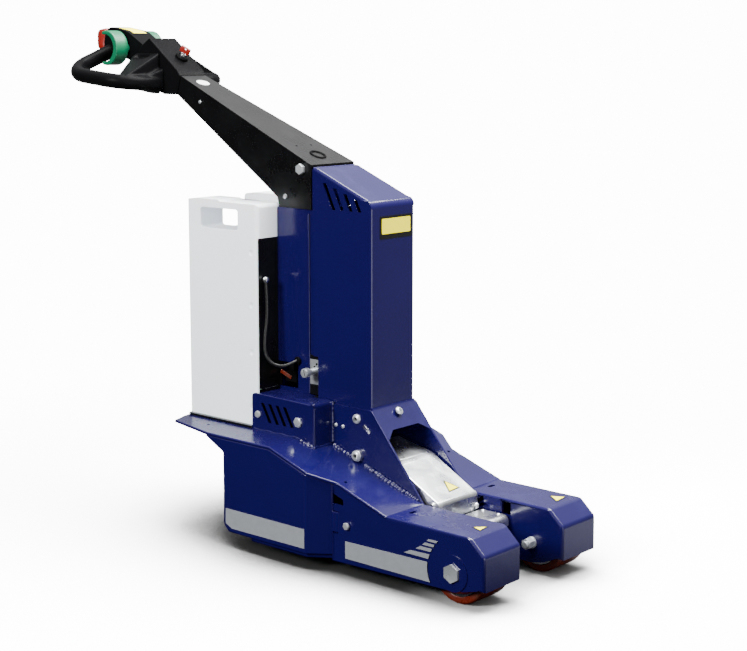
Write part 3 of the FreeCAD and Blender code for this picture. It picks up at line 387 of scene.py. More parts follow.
axle_x, axle_z = 0.534, 0.060
boss_radius, boss_shrink, fork_skin = 0.046, 0.86, 0.17095
cover_drop = 0.0075
for node, radius, corner, cross, cutters in (
    ("deck", 0.0022, 0.0, 1.0, deck_cutters), ("skirt_left", 0.0020, 0.0, 1.0, ()),
    ("skirt_right", 0.0020, 0.0, 1.0, ()), ("arm_left", 0.0012, 0.0060, 1.0, arm_cutters["left"]),
    ("arm_right", 0.0012, 0.0060, 1.0, arm_cutters["right"]), ("cross_member", 0.0012, 0.0, 1.0, ()),
    ("hood_rear", 0.0008, 0.0040, 1.0, vent_cutters), ("hood_front", 0.0012, 0.0018, 1.0, ()),
    ("column_cover", 0.0010, 0.0046, 3.2, ()), ("column_core", 0.0022, 0.0, 1.0, ()),
):
    plate = rounded_copy(node, radius, cutters=cutters, corner=corner, cross=cross)
    if node == "column_cover":
        # its lower edge comes down onto the hood
        foot = min(vertex.co.z for vertex in plate.data.vertices)
        for vertex in plate.data.vertices:
            if vertex.co.z < foot + 0.004:
                vertex.co.z -= cover_drop
    if node in ("arm_left", "arm_right"):
        # the boss round the axle bolt is a smaller disc
        for vertex in plate.data.vertices:
            reach = math.hypot(vertex.co.x - axle_x, vertex.co.z - axle_z)
            if abs(vertex.co.y) > fork_skin and reach < boss_radius:
                scaled(vertex, axle_x, axle_z, boss_shrink)
    finish_piece(plate, node + "_plate", "blue_paint", blue_coat, node)

# ---------------- zinc-plated parts
# The lift arm and its saddle are pressed from thick sheet and bright zinc
# plated, as are the pins, spacers, wheel hubs, bolts and the latch.


def plated(name, dark, light, sharpest, dullest, metallic):
    # zinc plate: a soft mirror, clouded by the bath in patches a few centimetres
    # across, with fine rolling marks and darker handling stains
    material, tree, place = new_material(name)
    cloud = add_node(tree, "TexNoise", Vector=place, Scale=16.0, Detail=5.0, Roughness=0.55, Distortion=0.4)
    cloud_step = add_node(tree, "MapRange", (cloud, 0.35, 0.68))
    shade = add_node(tree, "Mix", data_type="RGBA", i0=cloud_step, i6=dark, i7=light)
    haze = add_node(tree, "MapRange", (cloud, 0.3, 0.7, sharpest, dullest))
    stretch = add_node(tree, "Mapping", Vector=place, Scale=(60.0, 900.0, 60.0))
    rolling = add_node(tree, "TexNoise", Vector=stretch, Scale=1.0, Detail=2.0)
    rolled = add_node(tree, "Bump", Height=rolling, Strength=0.05, Distance=0.001)
    uneven = add_node(tree, "Bump", Height=cloud, Normal=rolled, Strength=0.05, Distance=0.004)
    metal = add_node(tree, "BsdfPrincipled", Base_Color=shade, Metallic=metallic, Roughness=haze,
                     Normal=uneven)
    add_node(tree, "OutputMaterial", Surface=metal)
    return material


zinc_plate = plated("bright_zinc_plate", "cfd2d5", "f2f4f5", 0.2, 0.36, 1.0)
# barrel-plated screws come out paler and duller, and the latch is rubbed
dull_zinc = plated("barrel_zinc_plate", "b0b6b9", "c9cdd0", 0.24, 0.34, 0.7)
rubbed_zinc = plated("rubbed_zinc_plate", "9a9ea1", "bcc0c3", 0.26, 0.38, 0.75)
finish_copy("lift_arm", "_pressing", "zinc", zinc_plate, 0.0012, body="lift_arm", corner=0.0028)
finish_copy("hitch_saddle", "_pressing", "zinc", zinc_plate, 0.0012, body="hitch_saddle", corner=0.0045)
for node, body in (("saddle_pin", "lift_arm"), ("lift_pin", "chassis"), ("roller_spacers", "chassis"),
                   ("roller_hub_left", "roller_left"), ("roller_hub_right", "roller_right")):
    finish_copy(node, "_zinc", "zinc", zinc_plate, 0.0008, body=body)

# ---------------- tiller arm
# A folded channel of 4 mm steel plate in satin black powder coat. Its cheeks
# clasp the column top, and its upper edges stand a little proud of the top.


def skin_over(name, dark, light, flow, relief, grain=None, gloss=None, **skin):
    # a skin whose tone follows an uneven flow. Its relief follows a finer grain, or the
    # same flow; its gloss may follow the flow too, as a map range.
    material, tree, place = new_material(name)
    flow = add_node(tree, "TexNoise", Vector=place, **flow)
    tone = add_node(tree, "Mix", data_type="RGBA", i0=flow, i6=dark, i7=light)
    grain = add_node(tree, "TexNoise", Vector=place, **grain) if grain else flow
    relief = add_node(tree, "Bump", Height=grain, Strength=relief[0], Distance=relief[1])
    if gloss:
        skin["Roughness"] = add_node(tree, "MapRange", (flow, *gloss))
    skin = add_node(tree, "BsdfPrincipled", Base_Color=tone, Normal=relief, **skin)
    add_node(tree, "OutputMaterial", Surface=skin)
    return material


# satin black powder coat: a fine even grain that spreads the light, a little
# greyer in random patches; powder grain under 1 mm across,
# drawn at 1.5 mm so that it shows
black_coat = skin_over("black_powder_coat", "040405", "09090a",
                       {"Scale": 18.0, "Detail": 5.0, "Roughness": 0.6},
                       (0.12, 0.0008), {"Scale": 650.0, "Detail": 2.0}, (0.3, 0.7, 0.24, 0.34), IOR=1.42,
                       Specular_IOR_Level=0.3)
# two small holes near the column for a cable clip
arm_top = Vector((0.383, 0.0, 0.924))
clip_holes = [rod((0.0176, y, 0.7763), arm_top, 0.0024, 0.016) for y in (-0.0215, 0.0195)]
finish_copy("tiller_arm", "_plate", "black_paint", black_coat, 0.0014, cutters=clip_holes)
finish_copy("battery_tray", "_plate", "black_paint", black_coat, 0.001)

# ---------------- battery case
# Blow-moulded white polyethylene shell with a carrying hole through each
# cheek. It stands in a black tray and lifts out by hand.

# natural polyethylene: waxy and slightly see-through, soft highlights, faint
# ripple from the mould, and scuffed a little grey in random patches
white_poly, tree, place = new_material("white_polyethylene")
ripple = add_node(tree, "TexNoise", Vector=place, Scale=11.0, Detail=3.0)
scuff = add_node(tree, "TexNoise", Vector=place, Scale=46.0, Detail=8.0, Roughness=0.7)
scuff_step = add_node(tree, "MapRange", (scuff, 0.58, 0.78))
tone = add_node(tree, "Mix", data_type="RGBA", i0=scuff_step, i6="f4f9ff", i7="e8eef5")
wax = add_node(tree, "MapRange", (ripple, 0.3, 0.7, 0.34, 0.46))
rippled = add_node(tree, "Bump", Height=ripple, Strength=0.12, Distance=0.01)
# eroded mould grain, about 1.5 mm from pit to pit
pits = add_node(tree, "TexNoise", Vector=place, Scale=700.0, Detail=1.0)
pitted = add_node(tree, "Bump", Height=pits, Normal=rippled, Strength=0.04, Distance=0.001)
shell = add_node(tree, "BsdfPrincipled", Base_Color=tone, Roughness=wax, Normal=pitted, IOR=1.5,
                 Subsurface_Weight=0.15, Subsurface_Scale=0.01)
add_node(tree, "OutputMaterial", Surface=shell)
# four round pits along the front of each cheek, where the mould's pins stood
dimples = []
for sign in (-1.0, 1.0):
    for z in (0.570, 0.466, 0.372, 0.261):
        dimples.append(added(bpy.ops.mesh.primitive_uv_sphere_add, segments=40, ring_count=24, radius=0.010,
                             location=(-0.0215, sign * 0.1195, z)))
finish_copy("battery_case", "_shell", "white_plastic", white_poly, 0.003, 3, cutters=dimples)

# ---------------- fork rollers
# Cast polyurethane tyres on zinc-plated hubs, one in each fork nose. The
# tread is turned flat after casting, and its edges are rounded off.

# cast polyurethane: red-brown, glossy, a little see-through at the edges, with
# turning marks round the tread and grey dust pressed into it
cast_pu, tree, place = new_material("cast_polyurethane")
dirt = add_node(tree, "TexNoise", Vector=place, Scale=60.0, Detail=6.0, Roughness=0.65)
dirt_step = add_node(tree, "MapRange", (dirt, 0.5, 0.72))
tone = add_node(tree, "Mix", data_type="RGBA", i0=dirt_step, i6="54190b", i7="3d2318")
# turning marks 1 mm apart across the tread
across = add_node(tree, "SeparateXYZ", Vector=place).outputs["Y"]
turning = add_node(tree, "Math", (across, 6283.0), operation="MULTIPLY")
groove = add_node(tree, "Math", (turning,), operation="SINE")
turned = add_node(tree, "Bump", Height=groove, Strength=0.05, Distance=0.0004)
gloss = add_node(tree, "MapRange", (dirt, 0.35, 0.7, 0.25, 0.5))
resin = add_node(tree, "BsdfPrincipled", Base_Color=tone, Roughness=gloss, Normal=turned, IOR=1.5,
                 Subsurface_Weight=0.1, Subsurface_Scale=0.004)
add_node(tree, "OutputMaterial", Surface=resin)
for side in ("left", "right"):
    tread = rounded_copy("roller_tyre_" + side, 0.003, 3)
    finish_piece(tread, "roller_tread_" + side, "brown_pu", cast_pu, "roller_tyre_" + side,
                 body="roller_" + side)

# ---------------- drive wheels
# Two solid rubber tyres on cast rims under the deck, driven by a transaxle
# that hangs between them; each tread has shallow moulded grooves.

# tyre rubber: near-black, dry and dull, greyed by floor dust
tyre_rubber = skin_over("solid_tyre_rubber", "0c0c0c", "2b2a29",
                        {"Scale": 45.0, "Detail": 8.0, "Roughness": 0.7}, (0.2, 0.001), Roughness=0.72,
                        IOR=1.52)
for side in ("left", "right"):
    tread = rounded_copy("drive_tyre_" + side, 0.004, 3)
    finish_piece(tread, "drive_tread_" + side, "black_rubber", tyre_rubber, "drive_tyre_" + side,
                 body="drive_wheel_" + side)

# ---------------- transaxle
# The motor, gearbox and axle tubes are grey painted castings bolted up under
# the deck; only their undersides and ends can be seen.

# painted sand casting: dark grey enamel over a coarse sandy skin, oily dust
# gathered in it
casting_paint = skin_over("painted_casting", "1d1f21", "3a3a38",
                          {"Scale": 22.0, "Detail": 6.0, "Roughness": 0.65}, (0.25, 0.001),
                          {"Scale": 420.0, "Detail": 4.0}, (0.3, 0.7, 0.4, 0.7), IOR=1.5)
finish_copy("drive_unit", "_casting", "cast_housing", casting_paint, 0.003)
for side in ("left", "right"):
    rim = rounded_copy("drive_rim_" + side, 0.002)
    finish_piece(rim, "drive_rim_casting_" + side, "cast_housing", casting_paint, "drive_rim_" + side,
                 body="drive_wheel_" + side)

# ---------------- column stems
# Struts of black coated plate inside the hood carry the column's cover on the
# deck; little of them can be seen.
finish_copy("column_stems", "_plate", "black_paint", black_coat, 0.0012)

# ---------------- tiller head
# Two moulded shells of black glass-filled nylon, screwed together round the
# electronics; the grip loops and the web to the console are part of them.

# grained black nylon: fine spark-eroded grain, about 1 mm from pit to pit, dull,
# and a little glossier in random patches
grained_nylon = skin_over("grained_black_nylon", "060607", "0b0b0c", {"Scale": 16.0, "Detail": 4.0},
                          (0.22, 0.0007), {"Scale": 950.0, "Detail": 1.0}, (0.35, 0.65, 0.28, 0.4), IOR=1.17,
                          Specular_IOR_Level=0.1)


def hull(points):
    # the smallest convex shape round a few points
    mesh = bpy.data.meshes.new("hull")
    piece = bpy.data.objects.new("hull", mesh)
    bpy.context.collection.objects.link(piece)
    shape = bmesh.new()
    for point in points:
        shape.verts.new(point)
    bmesh.ops.convex_hull(shape, input=shape.verts)
    shape.to_mesh(mesh)
    shape.free()
    return piece


def smelted(piece, voxel, rounds):
    # melts a piece into one moulded skin: an even grid over it, then smoothed corners
    modify(piece, "REMESH", mode="VOXEL", voxel_size=voxel)
    modify(piece, "SMOOTH", factor=0.5, iterations=rounds)
    bpy.ops.object.shade_smooth()
    return piece


finish_copy("head_console", "_shell", "black_plastic", grained_nylon, 0.0022, 3)
nose = rounded_copy("head_nose", 0.0022, 3)
for vertex in nose.data.vertices:
    # the nose's crown swells a little over its shaft
    upper = min(1.0, max(0.0, (vertex.co.z - 0.975) / 0.020))
    forward = min(1.0, max(0.0, (-0.436 - vertex.co.x) / 0.020))
    vertex.co.z += 0.0042 * upper * forward
finish_piece(nose, "head_nose_shell", "black_plastic", grained_nylon, "head_nose")
for side, sign in reversed(sides):
    # the loop's front arm swells into the web where it meets the console
    root = hull([(-0.352, sign * 0.036, 0.924), (-0.352, sign * 0.036, 0.884), (-0.404, sign * 0.036, 0.934),
                 (-0.404, sign * 0.036, 0.896), (-0.362, sign * 0.078, 0.907), (-0.408, sign * 0.088, 0.912),
                 (-0.362, sign * 0.078, 0.890), (-0.408, sign * 0.088, 0.894)])
    loop = rounded_copy("handle_" + side, 0.0)
    take(loop)
    root.select_set(True)
    bpy.ops.object.join()
    grip = smelted(loop, 0.0021, 13)
    finish_piece(grip, "grip_loop_" + side, "black_plastic", grained_nylon, "handle_" + side)

# The belly button is a soft red cap that reverses the machine when it is
# pushed: polyurethane skin, moulded, a little glossy.
red_cap = skin_over("moulded_red_cap", "6e0d06", "86160b", {"Scale": 30.0, "Detail": 4.0}, (0.1, 0.002),
                    Roughness=0.42, IOR=1.5)
button = smelted(rounded_copy("belly_button", 0.0), 0.0022, 48)
finish_piece(button, "belly_button_cap", "red_plastic", red_cap, "belly_button")

# The throttle wings are two levers of green nylon on one shaft through the
# nose, crescent-shaped for a thumb above and a finger below.
green_nylon = skin_over("moulded_green_nylon", "054c31", "0a6040",
                        {"Scale": 55.0, "Detail": 5.0, "Roughness": 0.6}, (0.25, 0.0015), Roughness=0.4,
                        IOR=1.5, Specular_IOR_Level=0.3)
wings = smelted(rounded_copy("throttle_wings", 0.0), 0.0012, 14)
finish_piece(wings, "throttle_wing_pair", "green_plastic", green_nylon, "throttle_wings")

# ---------------- welds
# MAG weld beads join hood, deck and column: half-round, painted over with the
# plates they join. Their ripples are 3 mm apart, drawn three times as coarse
# so that they show.
ripple_pitch = 0.009
swell_pitch = 0.037


def weld_bead(name, runs, radius, uneven=0.24):
    # a painted bead; runs are broken lines of points along the corner of two plates
    line = bpy.data.curves.new(name, "CURVE")
    line.dimensions = "3D"
    line.bevel_depth = radius
    line.bevel_resolution = 2
    line.use_fill_caps = True
    for run in runs:
        spots = []
        along = 0.0
        for start, end in zip(run, run[1:]):
            start, end = Vector(start), Vector(end)
            steps = max(2, round((end - start).length / (ripple_pitch / 6.0)))
            for step in range(steps):
                spots.append((start.lerp(end, step / steps), along + (end - start).length * step / steps))
            along += (end - start).length
        spots.append((Vector(run[-1]), along))
        spline = line.splines.new("POLY")
        spline.points.add(len(spots) - 1)
        for point, (spot, far) in zip(spline.points, spots):
            swing = math.sin(2.0 * math.pi * far / ripple_pitch)
            slow = math.sin(2.0 * math.pi * far / swell_pitch + 1.0)
            point.co = (spot.x, spot.y, spot.z + 0.0004 * slow, 1.0)
            point.radius = 1.0 + uneven * swing + 0.12 * slow
    bead = bpy.data.objects.new(name, line)
    bpy.context.collection.objects.link(bead)
    take(bead)
    bpy.ops.object.convert(target="MESH")
    # the end caps come loose from the tube and are joined to it
    edit(bead, (bpy.ops.mesh.remove_doubles, {"threshold": 0.00001}),
         (bpy.ops.mesh.normals_make_consistent, {"inside": False}))
    bpy.ops.object.shade_smooth()
    finish_piece(bead, name, "blue_paint", blue_coat)


hood_low, hood_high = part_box("hood_rear")
front_low, front_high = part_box("hood_front")
deck_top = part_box("deck")[1].z
bend_x = high.x - 0.490
slope = (deck_top - front_low.z) / (front_high.x - bend_x)


def on_deck(x, y, above=0.0):
    # a point on top of the deck: flat behind the bend, then falling towards the forks
    return (x, y, deck_top - max(0.0, x - bend_x) * slope + above)


step_x = hood_high.x
for side, sign in sides:
    outer = sign * hood_high.y
    inner = sign * front_high.y
    runs = [[on_deck(x, y) for x in span] for y, span in (
        (outer, (bend_x + 0.020, step_x)), (inner, (step_x + 0.004, 0.207)),
        (inner, (0.236, front_high.x - 0.012)),
    )]
    weld_bead("hood_weld_" + side, runs, 0.0036, 0.17)
    # the rear run and the step's foot are smooth and thin
    seam = [on_deck(x, outer) for x in (hood_low.x + 0.004, bend_x - 0.006, bend_x + 0.004, bend_x + 0.018)]
    step = [on_deck(step_x, outer), on_deck(step_x, inner)]
    weld_bead("hood_foot_" + side, [seam, step], 0.0024, 0.03)
    upright = [on_deck(step_x, inner, 0.003), (step_x, inner, hood_high.z - 0.002)]
    weld_bead("hood_seam_" + side, [upright], 0.0048, 0.04)
    # two short tacks beside the long seam, and one lump at each corner
    tacks = [[on_deck(x, inner + sign * 0.006, 0.001) for x in span]
             for span in ((0.163, 0.178), (0.252, 0.262), (0.272, 0.338))]
    tacks.append([(step_x, outer, hood_high.z - 0.004), (step_x, outer, hood_high.z + 0.0005)])
    tacks.append([on_deck(x, outer + sign * 0.005, 0.001) for x in (0.119, 0.146)])
    weld_bead("hood_tacks_" + side, tacks, 0.0022)
# a thin run of sealant lies along the column cover's rear edge
edge_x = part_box("column_cover")[0].x - 0.0130
edge_y = 0.0592
for side, sign in sides:
    edge_run = [(edge_x, sign * edge_y, 0.2960), (edge_x, sign * edge_y, 0.6500)]
    weld_bead("cover_seam_" + side, [edge_run], 0.0019, 0.03)

# ---------------- fasteners
# Zinc-plated steel screws hold the hood, the lift arm's pin, the fork boxes
# and the tiller: hexagon heads with forged chamfers, and socket button heads.


def inset_end(piece, facing, height, steps):
    # insets the end face that looks up (1) or down (-1) at one height, and raises it, in steps
    take(piece)
    bpy.ops.object.mode_set(mode="EDIT")
    bpy.ops.mesh.select_mode(type="FACE")
    bpy.ops.mesh.select_all(action="DESELECT")
    mesh = bmesh.from_edit_mesh(piece.data)
    for face in mesh.faces:
        face.select_set(face.normal.z * facing > 0.9 and abs(face.calc_center_median().z - height) < 0.0001)
    bmesh.update_edit_mesh(piece.data)
    for inset, rise in steps:
        bpy.ops.mesh.inset(thickness=inset)
        bpy.ops.transform.translate(value=(0.0, 0.0, rise))
    bpy.ops.object.mode_set(mode="OBJECT")


def stepped_disc(radius, height, corners, steps, foot=0.0):
    # a low cylinder or prism with its top inset in steps
    head = added(bpy.ops.mesh.primitive_cylinder_add, vertices=corners, radius=radius, depth=height,
                 location=(0.0, 0.0, foot + height / 2.0))
    inset_end(head, 1.0, foot + height, steps)
    return head


def join_pieces(parts):
    # joins copies into one object
    take(parts[0])
    for part in parts:
        part.select_set(True)
    bpy.ops.object.join()
    return parts[0]


def hex_head(across, height, flange):
    # hexagon head on a washer face, chamfered at its corners
    head = stepped_disc(across / 2.0, height, 6, ((across * 0.07, height * 0.14),))
    washer = added(bpy.ops.mesh.primitive_cylinder_add, vertices=28, radius=flange, depth=0.0012,
                   location=(0.0, 0.0, 0.0006))
    join_pieces([head, washer])
    modify(head, "BEVEL", width=0.0004, segments=2, angle_limit=math.radians(25.0))
    smooth(head, 30.0)
    return head


def button_head(radius, height):
    # low domed head with a hexagon socket
    head = stepped_disc(radius, height * 0.45, 30, (
        (radius * 0.14, height * 0.3), (radius * 0.18, height * 0.17), (radius * 0.2, height * 0.08),
        (radius * 0.06, -height * 1.1),
    ))
    smooth(head, 40.0)
    return head


def put(template, at, along, turn=0.0):
    # a copy of a fastener with its own mesh, its foot at one point, its axis along another
    copy = template.copy()
    copy.data = template.data.copy()
    bpy.context.collection.objects.link(copy)
    facing = Vector(along).normalized().to_track_quat("Z", "Y").to_matrix().to_4x4()
    copy.data.transform(Matrix.Translation(Vector(at)) @ facing @ Matrix.Rotation(turn, 4, "Z"))
    return copy


small_hex = hex_head(0.0146, 0.0036, 0.0066)
large_hex = hex_head(0.0208, 0.0040, 0.0090)
small_button = button_head(0.0039, 0.0030)
large_button = button_head(0.0094, 0.0056)
pin_button = button_head(0.0100, 0.005)
pin_low, pin_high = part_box("lift_pin")
pin_middle = (pin_low + pin_high) / 2.0
fork_side = abs(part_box("arm_right")[0].y)
for side, sign in sides:
    out = (0.0, sign, 0.0)
    outer = sign * hood_high.y
    inner = sign * front_high.y
    screws = join_pieces([
        put(small_hex, (-0.0002, outer, 0.252), out, 0.2),
        put(large_hex, (0.1100, outer, 0.2525), out, 0.5),
        put(small_button, (0.1620, inner, 0.2470), out),
        put(small_button, (0.1800, inner, 0.2465), out, 0.4),
        put(large_button, (0.2159, inner, 0.267), out, 0.3),
        put(small_hex, (0.2864, sign * fork_side, 0.0946), out, 0.7),
        put(pin_button, (pin_middle.x, sign * abs(pin_low.y), pin_middle.z), out),
    ])
    finish_piece(screws, "hood_screws_" + side, "zinc", dull_zinc)
for template in (small_hex, large_hex, small_button, large_button, pin_button):
    bpy.data.objects.remove(template)
head_start, head_flattening = 0.173, 0.36
nut_start, nut_shrink = 0.0645, 0.62
for node in ("axle_bolt_left", "axle_bolt_right"):
    bolt = rounded_copy(node, 0.0009, 2, 25.0)
    # thin heads outside the forks, and slimmer nuts inside them
    for vertex in bolt.data.vertices:
        out = abs(vertex.co.y)
        if out > head_start:
            vertex.co.y = math.copysign(head_start + (out - head_start) * head_flattening, vertex.co.y)
        elif out < nut_start:
            scaled(vertex, axle_x, axle_z, nut_shrink)
    finish_piece(bolt, node + "_zinc", "zinc", dull_zinc, node)
bolts = rounded_copy("tiller_bolts", 0.0009, 2, 25.0)
head_shrink = 0.76
for large in (True, False):
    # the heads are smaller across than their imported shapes
    group = [vertex for vertex in bolts.data.vertices if (vertex.co.x > 0.05) == large]
    xs = [vertex.co.x for vertex in group]
    zs = [vertex.co.z for vertex in group]
    outer = max(abs(vertex.co.y) for vertex in group)
    head_depth = (max(xs) - min(xs)) * 0.33
    for vertex in group:
        if abs(vertex.co.y) > outer - head_depth:
            scaled(vertex, (min(xs) + max(xs)) / 2.0, (min(zs) + max(zs)) / 2.0, head_shrink)
finish_piece(bolts, "tiller_bolts_zinc", "zinc", dull_zinc, "tiller_bolts")


def single_screw(name, radius, height, at, along, body="chassis", material=dull_zinc):
    # one button head with a name of its own
    head = button_head(radius, height)
    finish_piece(put(head, at, along), name, "zinc", material, body=body)
    bpy.data.objects.remove(head)


# two short screws hold the lift arm's lower end to its saddle
for name, at, along in (("arm_screw_right", (0.3975, -0.0570, 0.1300), (0.0, -1.0, 0.0)),
                        ("arm_screw_front", (0.4150, 0.0490, 0.1100), (1.0, 0.0, 0.0))):
    single_screw(name, 0.0058, 0.0048, at, along, "lift_arm", zinc_plate)
# two small studs stand on the saddle's plate, near its left edge
for name, at in (("saddle_stud_rear", (0.4290, 0.0520, 0.1030)),
                 ("saddle_stud_front", (0.4660, 0.0510, 0.1030))):
    single_screw(name, 0.0036, 0.0019, at, (0.0, 0.0, 1.0), "hitch_saddle", zinc_plate)

# ---------------- stickers
# Cut vinyl on the painted sides: plain silver-grey bands and rising stripes,
# and blank yellow triangles and plates with black borders.


def vinyl(name, first, second, rough):
    # cast vinyl: thin, smooth and satin, with slightly milky variation
    grain = {"Scale": 75.0, "Detail": 5.0}
    return skin_over(name, first, second, grain, (0.04, 0.001), Roughness=rough, IOR=1.35)


silver_vinyl = vinyl("silver_vinyl", "6d7074", "7b7e82", 0.35)
yellow_vinyl = vinyl("yellow_vinyl", "eadc00", "f0e300", 0.6)
black_vinyl = vinyl("black_vinyl", "0b0b0c", "151516", 0.3)
white_vinyl = vinyl("white_vinyl", "d5d7d8", "e6e7e8", 0.35)
film_thickness = 0.0004


def cut_film(name, slot, material, shapes, place, body="chassis"):
    # cuts flat outlines from film; place puts a flat point (u, v, height) on the surface
    mesh = bpy.data.meshes.new("film")
    film = bpy.data.objects.new("film", mesh)
    bpy.context.collection.objects.link(film)
    cut = bmesh.new()
    for shape in shapes:
        bottom = [cut.verts.new(place(u, v, 0.0)) for u, v in shape]
        top = [cut.verts.new(place(u, v, film_thickness)) for u, v in shape]
        cut.faces.new(top)
        cut.faces.new(bottom[::-1])
        for i in range(len(shape)):
            j = (i + 1) % len(shape)
            cut.faces.new((bottom[i], bottom[j], top[j], top[i]))
    bmesh.ops.recalc_face_normals(cut, faces=cut.faces)
    cut.to_mesh(mesh)
    cut.free()
    finish_piece(film, name, slot, material, body=body)


roller_low, roller_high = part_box("roller_tyre_right")
roller_x = (roller_low.x + roller_high.x) / 2.0
roller_z = (roller_low.z + roller_high.z) / 2.0
# the band ends in a hollow curve round the fork's boss
hollow = 0.056
band = [(0.2828, 0.0654), (0.2828, 0.0325)]
for step in range(9):
    turn = math.radians(209.0 - 38.0 * step / 8.0)
    band.append((roller_x + hollow * math.cos(turn), roller_z + hollow * math.sin(turn)))
stripes = [
    [(0.4245, 0.0749), (0.4385, 0.0821), (0.4834, 0.0837), (0.4807, 0.0749)],
    [(0.4524, 0.0883), (0.4620, 0.0945), (0.4890, 0.0948), (0.4861, 0.0886)],
    [(0.4670, 0.0981), (0.4727, 0.1030), (0.4946, 0.1034), (0.4921, 0.0984)],
    [(0.4773, 0.1071), (0.4812, 0.1110), (0.5020, 0.1113), (0.4988, 0.1070)],
]
skirt_band = [(-0.0072, 0.0785), (-0.0078, 0.0480), (0.0093, 0.0400), (0.2046, 0.0410), (0.2046, 0.0785)]
for side, sign in sides:
    for name, shapes, reach in (("fork_band_", [band] + stripes, fork_side),
                                ("skirt_band_", [skirt_band], abs(low.y))):
        cut_film(name + side, "zinc", silver_vinyl, shapes, lambda u, v, h: (u, sign * (reach + h), v))

# ---------------- yellow plates
# Blank yellow film with a black edge: one plate on the column, a triangle on
# each fork and on the lift arm, and a label on the tiller's nose.
film_border = 0.0024


def edged_film(name, outline, place, body="chassis"):
    # a black film with a smaller yellow one on it, the same distance inside every side
    corners = list(zip(outline, outline[1:] + outline[:1]))
    if sum(a[0] * b[1] - b[0] * a[1] for a, b in corners) < 0.0:
        outline = outline[::-1]
        corners = list(zip(outline, outline[1:] + outline[:1]))
    lines = []
    for a, b in corners:
        along = (Vector(b) - Vector(a)).normalized()
        lines.append((Vector(a) + Vector((-along.y, along.x)) * film_border, along))
    inner = []
    for i in range(len(lines)):
        (p, d), (q, e) = lines[i - 1], lines[i]
        far = ((q.x - p.x) * e.y - (q.y - p.y) * e.x) / (d.x * e.y - d.y * e.x)
        inner.append(tuple(p + d * far))
    cut_film(name + "_edge", "black_plastic", black_vinyl, [outline], place, body)
    cut_film(name + "_face", "orange_plastic", yellow_vinyl, [inner],
             lambda u, v, h: place(u, v, h + film_thickness), body)


cover_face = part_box("column_cover")[1].x
# the column's plate is black with a yellow panel in its upper part
for name, slot, material, lift, (u0, v0, u1, v1, cut) in (
    ("column_plate_edge", "black_plastic", black_vinyl, 0.0, (-0.0385, 0.6105, 0.0545, 0.6540, 0.0020)),
    ("column_plate_face", "orange_plastic", yellow_vinyl, film_thickness,
     (-0.0330, 0.6198, 0.0496, 0.6490, 0.0016)),
):
    # a rectangle with its corners cut
    outline = [(u0 + cut, v0), (u1 - cut, v0), (u1, v0 + cut), (u1, v1 - cut), (u1 - cut, v1),
               (u0 + cut, v1), (u0, v1 - cut), (u0, v0 + cut)]
    cut_film(name, slot, material, [outline], lambda u, v, h: (cover_face + lift + h, u, v))
fork_top = 0.131
for name, outline in (
    ("fork_triangle_right", [(0.5602, -0.1279), (0.5553, -0.0970), (0.5354, -0.1186)]),
    ("fork_triangle_left", [(0.5560, 0.1100), (0.5510, 0.1490), (0.5230, 0.1340)]),
):
    edged_film(name, outline, lambda u, v, h: (u, v, fork_top + h))
# the lift arm's upper face falls towards its nose
arm_spot = Vector((0.3582, 0.0, 0.1626))
arm_fall = Vector((0.876, 0.0, -0.483))
arm_up = Vector((0.483, 0.0, 0.876))
edged_film("lift_triangle", [(0.0399, -0.0057), (0.0372, 0.0298), (0.0083, 0.0099)],
           lambda u, v, h: arm_spot + arm_fall * u + Vector((0.0, v, 0.0)) + arm_up * h, "lift_arm")

# ---------------- tiller trim
# The nose label bends with the nose over its shaft. An oval badge and a rubber
# cable cap lie on the arm's top plate, and one small screw is set in its side.
nose_crown = ((-0.5307, 1.0115), (-0.4893, 1.0044), (-0.4820, 1.00275), (-0.4734, 0.9993), (-0.4600, 0.99285))


def crown_height(x):
    # top of the nose along its length
    for (x0, z0), (x1, z1) in zip(nose_crown, nose_crown[1:]):
        if x <= x1:
            return z0 + (z1 - z0) * (x - x0) / (x1 - x0)
    return nose_crown[-1][1]


label_middle, label_length, label_width = -0.495, 0.054, 0.039
for name, slot, material, margin, lift in (
    ("nose_label_edge", "black_plastic", black_vinyl, 0.0, film_thickness),
    ("nose_label_face", "orange_plastic", yellow_vinyl, 0.0022, 2.0 * film_thickness),
):
    label = added(bpy.ops.mesh.primitive_grid_add, x_subdivisions=14, y_subdivisions=2, size=1.0)
    for vertex in label.data.vertices:
        x = label_middle + vertex.co.x * (label_length - 2.0 * margin)
        vertex.co = (x, vertex.co.y * (label_width - 2.0 * margin), crown_height(x) + lift)
    modify(label, "SOLIDIFY", thickness=film_thickness, offset=-1.0)
    finish_piece(label, name, slot, material)
single_screw("tiller_screw", 0.0036, 0.0024, (-0.2415, -0.0383, 0.8568), (0.0, -1.0, 0.0))


def oval(across, along, points):
    # an ellipse's outline round the origin, from its two radii
    angles = [2.0 * math.pi * i / points for i in range(points)]
    return [(across * math.cos(angle), along * math.sin(angle)) for angle in angles]


arm_side = Vector((0.0, 1.0, 0.0))
arm_run = Vector((0.924, 0.0, -0.383))
badge_spot = Vector((-0.2690, -0.0040, 0.8951))
cut_film("arm_badge", "white_plastic", white_vinyl, [oval(0.0125, 0.0150, 36)],
         lambda u, v, h: badge_spot + arm_run * u + arm_side * v + arm_top * h)
cap = added(bpy.ops.mesh.primitive_torus_add, major_radius=0.0148, minor_radius=0.0026, major_segments=44,
            minor_segments=12, location=(0.0578, -0.0035, 0.7597),
            rotation=arm_top.to_track_quat("Z", "Y").to_euler())
bpy.ops.object.shade_smooth()
finish_piece(cap, "arm_cable_cap", "black_rubber", grained_nylon)
